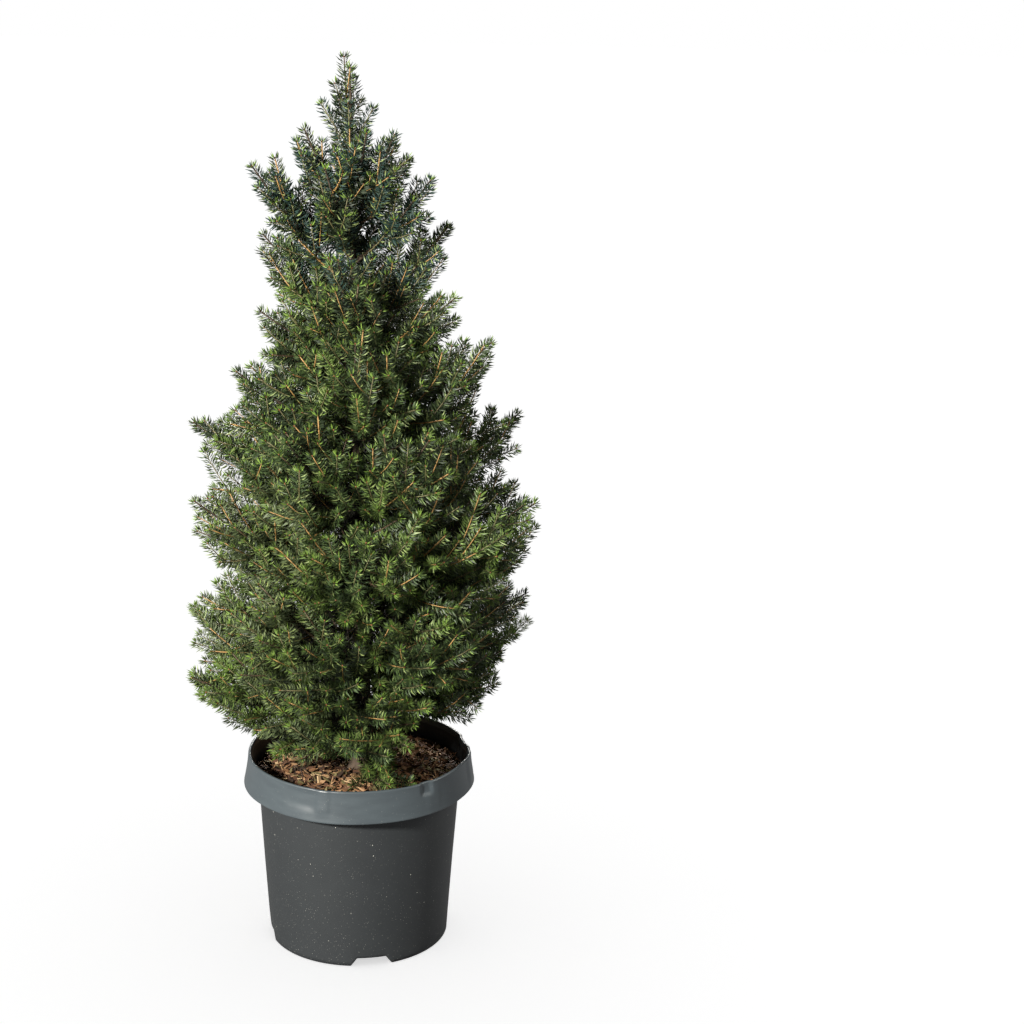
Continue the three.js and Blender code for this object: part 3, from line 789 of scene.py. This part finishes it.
# Needles along every shoot, turned by the golden angle each time, as columns of owner, share of
# the shoot, turn round it, degrees off it, length and green. within runs from 0 to 1 along the
# leafy end of the shoot, and crowding packs the needles towards the tip.
def needlesAlong(greens, random):
    look = needleLook
    lengths = limbs["length"]
    leafy = np.minimum(lengths * 0.96, look["leafy"])
    mature = (limbs["order"] == 0) & (crownShare(limbs["start"]) < growth["young"])
    leafy = np.where(mature, np.minimum(leafy, look["leafyOld"]), leafy)
    shown = np.interp(tipDepth, look["fadeDepth"], [1, look["shaded"]])
    density = look["target"] / (leafy * shown).sum()
    count = np.round(leafy * shown * density).astype(int)
    print("needles per millimetre of shoot", round(density * mm, 2))
    owner = np.repeat(everyLimb, count)
    rank = np.arange(len(owner)) - np.repeat(np.cumsum(count) - count, count)
    within = ((rank + random.random(len(owner))) / count[owner]) ** look["crowding"]
    share = 1 - (1 - within) * (leafy / lengths)[owner]
    turn = goldenAngle * rank + random.normal(0, 0.35, len(owner))
    spread = np.interp(within, [0, 1], look["spread"]) + random.normal(0, look["stray"], len(owner))
    full = np.interp(within, [0, 0.85, 1], [0.9, 1, 0.8])
    size = look["length"] * random.uniform(0.75, 1.1, len(owner)) * full
    green = greens[owner]
    single = random.random(len(owner))
    outer = green != old
    green = np.where(outer & (single < look["paleShare"]), pale, green)
    green = np.where(outer & (single > 1 - look["darkShare"]), deep, green)
    return owner, share, turn, spread, size, green


# The rosettes of short needles at the shoots' tips, in the same columns.
def needlesAtTips(greens, random):
    look = needleLook
    owner = np.repeat(everyLimb[tipDepth < look["tuftDepth"]], look["tuft"])
    rank = np.arange(len(owner)) % look["tuft"]
    turn = goldenAngle * rank + random.normal(0, 0.4, len(owner))
    spread = random.uniform(*look["tuftSpread"], len(owner))
    size = look["length"] * random.uniform(0.55, 0.85, len(owner))
    green = np.where(random.random(len(owner)) < look["tuftFresh"], fresh, greens[owner])
    return owner, np.ones(len(owner)), turn, spread, size, green


# Each needle is a bowed kite with four faces, from a foot on the shoot to a point. Its direction
# is cos(spread) * along + sin(spread) * outwards + rise * up, and its middle stands out by the bow.
def needleCorners(foot, along, outwards, spread, length, halfWidth):
    spread = np.radians(spread)[:, None]
    length = length[:, None]
    halfWidth = halfWidth[:, None]
    direction = unit(np.cos(spread) * along + np.sin(spread) * outwards + needleLook["rise"] * up)
    side = unit(np.cross(direction, outwards))
    back = np.cross(side, direction)
    middle = foot + 0.5 * length * direction + needleLook["bow"] * length * back
    end = foot + length * direction
    return np.stack([foot, middle + halfWidth * side, middle - halfWidth * side, end], 1)


# All the needles, in one piece for each tier of masses.
def buildNeedles():
    random = np.random.default_rng(growth["seed"] + 1)
    greens = limbGreens(random)
    groups = [needlesAlong(greens, random), needlesAtTips(greens, random)]
    owner, share, turn, spread, size, green = (np.concatenate(columns) for columns in zip(*groups))
    along = limbTangent(limbs, owner, share)
    outwards = squareTo(along, turn)
    foot = limbPoint(limbs, owner, share) + 0.5 * mm * outwards
    broad = np.interp(tipDepth[owner], needleLook["fadeDepth"], [1, needleLook["broad"]])
    width = needleLook["halfWidth"] * random.uniform(0.8, 1.15, len(owner)) * broad
    corners = needleCorners(foot, along, outwards, spread, size, width)
    paints = [plainMaterial(f"spruce_needle_{name}", c, 0.5, 0.35)
              for name, c in needleLook["greens"].items()]
    shape = np.array([[0, 1, 2], [0, 2, 3], [0, 3, 1], [1, 3, 2]])
    tiers = ["skirt", "low", "middle", "shoulder", "upper", "crown", "spire"]
    tierOf = [next((t for t in tiers if name.startswith("mass_" + t)), "spire") for name in massNames]
    needleTier = np.array(tierOf)[limbs["mass"][owner]]
    for tier in tiers:
        mine = needleTier == tier
        count = int(mine.sum())
        stands = [name for name, t in zip(massNames, tierOf) if t == tier]
        faces = [repeated(shape, count, 4)]
        shades = [np.repeat(green[mine], 4)]
        addPiece(f"needles_{tier}", corners[mine].reshape(-1, 3), faces, paints,
                 stands, shades, smooth=False)
        print("needles on the", tier, count, "triangles", count * 4)


print("needles")
buildNeedles()

soilLook = {
    "columns": 120,
    "clear": 15 * mm,       # the root ball's bottom over the ground, clear of the notches
    "lump": 2.4 * mm,
    # how many, with their lengths, widths and thicknesses in mm
    "chips": (1500, (6, 20), (3, 8), (0.8, 2.4)),
    "splinters": (900, (9, 26), (0.8, 2.0), (0.6, 1.2)),
    "browns": ["#4c3323", "#694a30", "#86684a", "#2f2219", "#5a5133", "#a18866"],
    "shares": [0.24, 0.22, 0.16, 0.2, 0.12, 0.06],
    "fineBrown": "#221912",
    "paleFleck": "#54412d",
    "crumb": 1 / 420,       # width of the crumbs
}
soilTree = treeOf(["soil"])
soilPoints = nodeArrays("soil")[0]
soilLow, soilHigh = soilPoints[:, 2].min(), soilPoints[:, 2].max()
soilRim = np.linalg.norm(soilPoints[:, :2], axis=1).max() - 0.6 * mm


# Height of the CAD soil's top under each point, or a little under its highest past its edge.
def soilHeight(x, y):
    spots = zip(x.ravel().tolist(), y.ravel().tolist())
    hits = [soilTree.ray_cast((a, b, farAway), (0, 0, -1))[0] for a, b in spots]
    level = soilHigh - 4 * mm
    return np.array([level if hit is None else hit.z for hit in hits]).reshape(x.shape)


# Composted bark: dark, matt and crumbly, with paler crumbs.
def soilMaterial():
    matt = {"Roughness": 0.95, "Specular IOR Level": 0.2}
    material, tree, shader = newMaterial("potting_bark_fines", matt)
    crumbs = noise(tree, placeIn(tree), soilLook["crumb"], 4.0)
    ramp = addNode(tree, "ShaderNodeValToRGB", links={"Fac": crumbs})
    for end, position, colour in zip(ramp.color_ramp.elements, (0.42, 0.72), ("fineBrown", "paleFleck")):
        end.position = position
        end.color = linear(soilLook[colour])
    dress(tree, shader, ramp.outputs["Color"], crumbs, 0.9, 1.5 * mm)
    return material


# The root ball: a turned grid that runs out along the bottom, up the pot's wall and in over the
# lumpy top, with both ends closed to a point.
def buildSoil():
    columns, clear = soilLook["columns"], soilLook["clear"]
    turn = anglesRound(columns)
    foot = np.linalg.norm(soilPoints[:, :2], axis=1)[soilPoints[:, 2] < soilLow + 6 * mm].max() - mm
    waist = foot + 0.06 * (soilHigh - clear)
    outside = np.array([(0.5, clear), (foot / soilRim, clear),
                        (waist / soilRim, soilHigh - 16 * mm), (1, soilHigh - 11 * mm)])
    inward = np.linspace(1, 0.03, 40)
    share = np.concatenate([outside[:, 0], inward])
    radius = share[:, None] * soilRim * np.ones(columns)
    x, y = radius * np.cos(turn), radius * np.sin(turn)
    topX, topY = x[len(outside):], y[len(outside):]
    top = soilHeight(topX, topY)
    flat = np.stack([topX, topY, 0 * top], -1)
    top += soilLook["lump"] * (0.5 * ripples(flat, 26 * mm, 31) + 0.4 * ripples(flat, 9 * mm, 32))
    height = outside[:, 1:] * np.ones(columns)
    skin = np.stack([x, y, np.concatenate([height, top])], -1)
    points = np.concatenate([skin.reshape(-1, 3), [[0, 0, clear], [0, 0, top[-1].mean()]]])
    addPiece("soil_root_ball", points, closedGrid(len(share), columns), [soilMaterial()],
             ["soil"])


# Turns two columns of coordinates by an angle each.
def turnedBy(first, second, angle):
    c, s = np.cos(angle)[:, None], np.sin(angle)[:, None]
    return first * c - second * s, second * c + first * s


# Flat flakes of bark, each a five-sided plate lying on the soil and tipped a little.
def buildChips(name, seed):
    count, longSize, wideSize, thickness = soilLook[name]
    random = np.random.default_rng(seed)
    sides = 5
    radius = (soilRim - 5 * mm) * np.sqrt(random.uniform(0.012, 1, count))
    azimuth = random.uniform(0, 2 * np.pi, count)
    x, y = radius * np.cos(azimuth), radius * np.sin(azimuth)
    height = soilHeight(x, y) + random.uniform(0.3, 4.5, count) * mm
    turn = (np.arange(sides) + random.uniform(-0.3, 0.3, (count, sides))) * 2 * np.pi / sides
    length = random.uniform(*longSize, count)[:, None] * mm / 2
    width = random.uniform(*wideSize, count)[:, None] * mm / 2
    reach = random.uniform(0.75, 1.15, (count, sides))
    flat = np.stack([length * reach * np.cos(turn), width * reach * np.sin(turn)], -1)
    thick = random.uniform(*thickness, count)[:, None] * mm / 2
    top = np.concatenate([flat, np.broadcast_to(thick[..., None], (count, sides, 1))], -1)
    plate = np.concatenate([top, top * [0.9, 0.9, -1]], 1)
    spin = random.uniform(0, 2 * np.pi, count)
    tip = random.normal(0, 0.38, count)
    roll = random.normal(0, 0.45, count)
    px, pz = turnedBy(plate[..., 0], plate[..., 2], -tip)
    py, pz = turnedBy(plate[..., 1], pz, roll)
    px, py = turnedBy(px, py, spin)
    points = np.stack([px, py, pz], -1) + np.stack([x, y, height], -1)[:, None, :]
    lid = np.array([[0, 1, 2], [0, 2, 3], [0, 3, 4], [5, 7, 6], [5, 8, 7], [5, 9, 8]])
    edge = np.array([[i, sides + i, sides + (i + 1) % sides, (i + 1) % sides] for i in range(sides)])
    faces = [repeated(each, count, 2 * sides) for each in (lid, edge)]
    colour = random.choice(len(soilLook["browns"]), count, p=soilLook["shares"])
    browns = [plainMaterial(f"bark_chip_{name}_{i}", c, 0.8, 0.3) for i, c in enumerate(soilLook["browns"])]
    shades = [np.repeat(colour, len(each)) for each in (lid, edge)]
    addPiece(f"soil_{name}", points.reshape(-1, 3), faces, browns, (), shades, False)


print("soil")
buildSoil()
buildChips("chips", 51)
buildChips("splinters", 52)

potLow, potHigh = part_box("pot")
potShape = {
    "height": potHigh.z,
    "collarRadius": (potHigh.x - potLow.x) / 2,
    "footRadius": 109 * mm,
    "shoulderRadius": 122.5 * mm,
    "shoulderHeight": 202 * mm,
    "lipRadius": 134 * mm,
    "collarRoom": 128 * mm,
    "collarDrop": 39 * mm,
    "wall": 2.4 * mm,
    "notches": 4,
    "firstNotch": 278,
    "notchWidth": (50 * mm, 35 * mm),   # along the ground and at its top
    "notchHeight": 10 * mm,
    "notchDepth": 24 * mm,
    "notchFade": 30 * mm,               # the wall's rows are level again at this height
    "footRound": 4 * mm,
    "columns": 540,
    # azimuth, half width in degrees, share of the collar from its lip, half share, push in mm
    "dents": [(240, 8, 0.36, 0.27, -1.1), (252, 3, 0.3, 0.4, 0.8), (306, 3, 0.16, 0.2, -2.4),
              (310, 4, 0.5, 0.3, 0.5), (10, 6, 0.2, 0.7, -3.0), (350, 6, 0.2, 0.6, 1.4),
              (150, 9, 0.3, 0.5, -1.4), (75, 8, 0.5, 0.4, 1.2)],
}


# Height of the drainage notches round the foot: a level top with sloping ends, four times round.
def notchLift(turn):
    pitch = 2 * np.pi / potShape["notches"]
    off = (turn - math.radians(potShape["firstNotch"]) + pitch / 2) % pitch - pitch / 2
    along = np.abs(off) * potShape["footRadius"]
    wide, top = (w / 2 for w in potShape["notchWidth"])
    return potShape["notchHeight"] * np.clip((wide - along) / (wide - top), 0, 1)


# A smooth hill from 0 outside to 1 inside, flat on top: t^2 * (3 - 2t).
def hill(off, half):
    t = np.clip(1.6 - 1.6 * np.abs(off) / half, 0, 1)
    return t * t * (3 - 2 * t)


def arcPoints(centreR, centreZ, radius, fromDegrees, toDegrees, count):
    angle = np.radians(np.linspace(fromDegrees, toDegrees, count))
    return [(centreR + radius * math.cos(a), centreZ + radius * math.sin(a)) for a in angle]


def straight(first, last, count):
    t = np.linspace(0, 1, count, endpoint=False)
    return [(first[0] + (last[0] - first[0]) * s, first[1] + (last[1] - first[1]) * s) for s in t]


# The pot's section in named runs of points (distance from the axis, height): up the body, under
# and round the collar, over the lip and down inside.
def potSection():
    shape = potShape
    foot, wall, height = shape["footRadius"], shape["wall"], shape["height"]
    edge, lip, room = shape["collarRadius"], shape["lipRadius"], shape["collarRoom"]
    shoulder = (shape["shoulderRadius"], shape["shoulderHeight"])
    collarFoot = height - shape["collarDrop"]
    neck = (room + wall, shoulder[1] + 5 * mm)
    underLip = (room + wall + 1.4 * mm, height - 6 * mm)
    flareTop = height - 2.2 * mm
    flareFall = flareTop - collarFoot - 3.4 * mm
    flareOut = edge - lip - 0.9 * mm
    slope = (shoulder[0] - foot) / shoulder[1]
    inner = [(foot + slope * z - wall, z) for z in (shoulder[1] - wall, 16 * mm)]
    return {
        "body": straight((foot + 0.3 * mm, shape["footRound"]), shoulder, 44),
        "under": straight(shoulder, neck, 4),
        "hidden": straight(neck, underLip, 4),
        "back": straight(underLip, (edge - 2.8 * mm, collarFoot + 2 * mm), 8),
        "bead": arcPoints(edge - 1.3 * mm, collarFoot + 1.5 * mm, 1.4 * mm, 180, 375, 9),
        "flare": [(lip + 0.6 * mm + flareOut * s ** 1.35, flareTop - flareFall * s)
                  for s in np.linspace(1, 0, 26)],
        "rim": arcPoints(lip - 1.4 * mm, height - 2.0 * mm, 2.0 * mm, 0, 180, 9),
        "inside": straight((lip - 3.4 * mm, flareTop), (room, shoulder[1] + 4.6 * mm), 10),
        "wall": straight(*inner, 12),
    }


# How far the pot is pushed in or out at each turn: the wall wavers a little towards the top, and
# the collar has dents, each a product of two hills.
def potPush(turn, height, onCollar):
    waver = 0.5 * mm * np.sin(3 * turn + 1.0) + 0.4 * mm * np.sin(7 * turn + 2.2)
    push = waver * np.clip((height - 0.1) / 0.1, 0, 1)
    fromLip = np.clip((potShape["height"] - height) / potShape["collarDrop"], 0, 1)
    for azimuth, half, place, halfPlace, depth in potShape["dents"]:
        off = (np.degrees(turn) - azimuth + 180) % 360 - 180
        push = push + onCollar * depth * mm * hill(off, half * 1.5) * hill(fromLip - place, halfPlace * 1.5)
    return push


# The pot turned from its section, from the middle of the underside out to the foot, round the
# section, and over the floor to its middle. The foot is lifted by notchLift outside notchDepth.
def buildPot(body, collar):
    shape = potShape
    columns, wall, foot = shape["columns"], shape["wall"], shape["footRadius"]
    turn = anglesRound(columns)
    lift = notchLift(turn)
    runs = potSection()
    runOf = np.repeat(list(runs), [len(run) for run in runs.values()])[:, None]
    profile = np.array(sum(runs.values(), []))
    level = profile[:, 1:] * np.ones(columns)
    raised = lift + 0.8 * mm
    fade, start = shape["notchFade"], shape["footRound"]
    lifted = raised + (level - start) * (fade - raised) / (fade - start)
    level = np.where((level < fade) & (runOf == "body"), lifted, level)
    onCollar = np.isin(runOf, ["back", "bead", "flare", "rim", "inside"]).astype(float)
    radius = profile[:, :1] + potPush(turn, profile[:, 1:], onCollar)
    skin = np.stack([radius * np.cos(turn), radius * np.sin(turn), level], -1)

    def ringAt(radius, level):
        return np.stack([radius * np.cos(turn), radius * np.sin(turn), level * np.ones(columns)], -1)[None]

    step = foot - shape["notchDepth"]
    underside = [ringAt(step * 0.5, 0), ringAt(step, 0),
                 ringAt(step + 0.1 * mm, lift), ringAt(foot - 2 * mm, lift)]
    floor = [ringAt(step * 0.94, lift + wall), ringAt(step * 0.93, wall), ringAt(step * 0.4, wall)]
    grid = np.concatenate([*underside, skin, *floor])
    points = np.concatenate([grid.reshape(-1, 3), [[0, 0, 0], [0, 0, wall]]])
    faces = closedGrid(len(grid), columns)
    # the collar's rows take the collar material, whose paler blue-grey is painted sheen
    rubbed = np.flatnonzero(np.isin(runOf, ["back", "bead", "flare", "rim"])) + len(underside) + 3
    row = np.repeat(np.arange(len(grid) - 1), columns)
    shades = [((row >= rubbed[0]) & (row < rubbed[-1])).astype(int), np.zeros(len(faces[1]), int)]
    addPiece("pot_shell", points, faces, [body, collar], ["pot"], shades)


potLook = {
    "body": "#212426",
    "bodyPale": "#282b2d",
    "dust": "#b4b3aa",
    # the collar's paler blue-grey, over the body's black, is painted sheen
    "collar": "#353b3f",
    "collarPale": "#434b4f",
    "fineSpeck": 2.2 * mm,  # spacing of the fine dust
    "speck": 9 * mm,        # spacing of the larger crumbs
    "grain": 0.9 * mm,      # moulded texture
    "scuff": 30 * mm,       # width of the rubbed patches
}


# Dots of dust: a spot at the middle of some cells of a Voronoi pattern, spacing apart. size is the
# dot's share of a cell and rare the share of cells left clean.
def dustDots(tree, place, spacing, size, rare):
    cells = addNode(tree, "ShaderNodeTexVoronoi", {"Scale": 1 / spacing}, {"Vector": place})
    chance = addNode(tree, "ShaderNodeSeparateColor", links={"Color": cells.outputs["Color"]})
    dot = arithmetic(tree, "LESS_THAN", cells.outputs["Distance"], size)
    some = arithmetic(tree, "GREATER_THAN", chance.outputs["Red"], rare)
    return arithmetic(tree, "MULTIPLY", arithmetic(tree, "MULTIPLY", dot, some), chance.outputs["Green"])


# Injection-moulded black polypropylene, matt and faintly grained. Rubbed patches are a little
# paler, and dust and crumbs have dried on, thickest in drifts towards the foot.
def potBodyMaterial():
    material, tree, shader = newMaterial("polypropylene_moulded_matt", {"Roughness": 0.55, "IOR": 1.49})
    place = placeIn(tree)
    clouds = noise(tree, place, potLook["scuff"], 6.0, 0.7)
    tone = blend(tree, clouds, potLook["body"], potLook["bodyPale"])
    level = addNode(tree, "ShaderNodeSeparateXYZ", links={"Vector": place}).outputs["Z"]
    falling = {"From Min": 0.2, "From Max": 0.0, "To Min": 0.4, "To Max": 1.2}
    drift = addNode(tree, "ShaderNodeMapRange", falling, {"Value": level}).outputs["Result"]
    fine = dustDots(tree, place, potLook["fineSpeck"], 0.15, 0.5)
    crumbs = dustDots(tree, place, potLook["speck"], 0.07, 0.6)
    fineHere = arithmetic(tree, "MULTIPLY", fine, arithmetic(tree, "MULTIPLY", drift, clouds))
    dusty = blend(tree, arithmetic(tree, "MAXIMUM", fineHere, crumbs), tone, potLook["dust"])
    dress(tree, shader, dusty, noise(tree, place, potLook["grain"], 3.0), 0.25, 0.25 * mm)
    return material


# The collar of the same plastic, smoother and glossier, painted a paler blue-grey that stands in for its
# sheen, with rubbed streaks along it from handling and a little dust.
def potCollarSheenMaterial():
    material, tree, shader = newMaterial("polypropylene_collar_painted_sheen", {"IOR": 1.49})
    clouds = noise(tree, placeIn(tree, (1, 1, 5)), potLook["scuff"] / 0.8, 7.0, 0.65)
    tone = blend(tree, clouds, potLook["collar"], potLook["collarPale"])
    fine = dustDots(tree, placeIn(tree), potLook["fineSpeck"], 0.14, 0.75)
    dusty = blend(tree, arithmetic(tree, "MULTIPLY", fine, 0.35), tone, potLook["dust"])
    gloss = addNode(tree, "ShaderNodeMapRange", {"To Min": 0.28, "To Max": 0.5}, {"Value": clouds})
    tree.links.new(dusty, shader.inputs["Base Color"])
    tree.links.new(gloss.outputs["Result"], shader.inputs["Roughness"])
    return material


print("pot")
buildPot(potBodyMaterial(), potCollarSheenMaterial())

studio = {
    # azimuth round from the front to the right and elevation in degrees, size in metres, power
    "lamps": {"key": (-40, 23, 0.4, 325), "side": (88, 28, 1.4, 48), "back": (178, 34, 1.4, 190)},
    "lampDistance": 3.2,
    "lampAim": (0, 0, 0.5),
    "lampColour": (1.0, 0.97, 0.91),
    "fill": 0.12,
    "floor": "#f4f4f4",
    "floorRadius": 30,
    "floorGlow": 0.62,
    "wash": 1.05,           # even light from above on the floor alone, which the pot and crown shade
    "washSpread": 150,      # degrees of sky that it comes from
}
lens = {
    "distance": 2.25,
    "height": 1.154,
    "pitch": 15.4,
    "turn": 4.43,           # to the right, which puts the plant left of the middle
    "focal": 69.4,
    "sensor": 36,
}


# A pale disc that the camera sees glow like lit white paper, so that only the soft shadow where the
# pot stands shows on it. The glow gives the plant no light.
def buildFloor():
    sides = 96
    turn = anglesRound(sides)
    edge = studio["floorRadius"] * np.stack([np.cos(turn), np.sin(turn), 0 * turn], -1)
    points = np.concatenate([edge, [[0, 0, 0]]]) - [0, 0, 0.1 * mm]
    mesh = bpy.data.meshes.new("floor")
    mesh.from_pydata(points.tolist(), [], fanFaces(0, sides, sides, False).tolist())
    settings = {"Base Color": linear(studio["floor"]), "Roughness": 0.9, "Specular IOR Level": 0.1,
                "Emission Color": (1, 1, 1, 1)}
    material, tree, shader = newMaterial("studio_floor", settings)
    seen = addNode(tree, "ShaderNodeLightPath")
    glow = arithmetic(tree, "MULTIPLY", seen.outputs["Is Camera Ray"], studio["floorGlow"])
    tree.links.new(glow, shader.inputs["Emission Strength"])
    mesh.materials.append(material)
    floor = bpy.data.objects.new("floor", mesh)
    bpy.context.scene.collection.objects.link(floor)
    return floor


# White surroundings that the camera sees, and a dimmer even light from them on the plant.
def buildSurroundings():
    world = bpy.data.worlds.new("studio")
    world.use_nodes = True
    tree = world.node_tree
    tree.nodes.clear()
    seen = addNode(tree, "ShaderNodeLightPath")
    level = addNode(tree, "ShaderNodeMapRange", {"To Min": studio["fill"], "To Max": 1.0},
                    {"Value": seen.outputs["Is Camera Ray"]})
    strength = level.outputs["Result"]
    white = addNode(tree, "ShaderNodeBackground", {"Color": (1, 1, 1, 1)}, {"Strength": strength})
    addNode(tree, "ShaderNodeOutputWorld", links={"Surface": white.outputs["Background"]})
    bpy.context.scene.world = world


# A round soft lamp that looks at the crown's middle and leaves the floor alone.
def buildLamp(name, azimuth, elevation, size, power, lit):
    azimuth, elevation = math.radians(azimuth), math.radians(elevation)
    level = math.cos(elevation)
    away = Vector((math.sin(azimuth) * level, -math.cos(azimuth) * level, math.sin(elevation)))
    light = bpy.data.lights.new(name, "AREA")
    light.shape = "DISK"
    light.size = size
    light.energy = power
    light.color = studio["lampColour"]
    lamp = bpy.data.objects.new(name, light)
    lamp.location = Vector(studio["lampAim"]) + away * studio["lampDistance"]
    lamp.rotation_euler = away.to_track_quat("Z", "Y").to_euler()
    bpy.context.scene.collection.objects.link(lamp)
    lamp.light_linking.receiver_collection = lit


def buildCamera():
    data = bpy.data.cameras.new("camera")
    data.lens = lens["focal"]
    data.sensor_width = lens["sensor"]
    camera = bpy.data.objects.new("camera", data)
    camera.location = (0, -lens["distance"], lens["height"])
    pitched = Matrix.Rotation(math.radians(90 - lens["pitch"]), 3, "X")
    turned = Matrix.Rotation(math.radians(-lens["turn"]), 3, "Y")
    camera.rotation_euler = (pitched @ turned).to_euler()
    bpy.context.scene.collection.objects.link(camera)
    bpy.context.scene.camera = camera


# Soft light straight down on the floor, for the faint shadow round the pot's foot.
def buildWash(floor):
    light = bpy.data.lights.new("wash", "SUN")
    light.energy = studio["wash"]
    light.angle = math.radians(studio["washSpread"])
    wash = bpy.data.objects.new("wash", light)
    bpy.context.scene.collection.objects.link(wash)
    only = bpy.data.collections.new("floor_only")
    only.objects.link(floor)
    wash.light_linking.receiver_collection = only


print("studio")
floor = buildFloor()
buildSurroundings()
lit = bpy.data.collections.new("all_but_floor")
lit.objects.link(floor)
lit.collection_objects[0].light_linking.link_state = "EXCLUDE"
buildWash(floor)
for name, lamp in studio["lamps"].items():
    buildLamp(name, *lamp, lit)
buildCamera()
bpy.context.scene.view_settings.view_transform = "Standard"
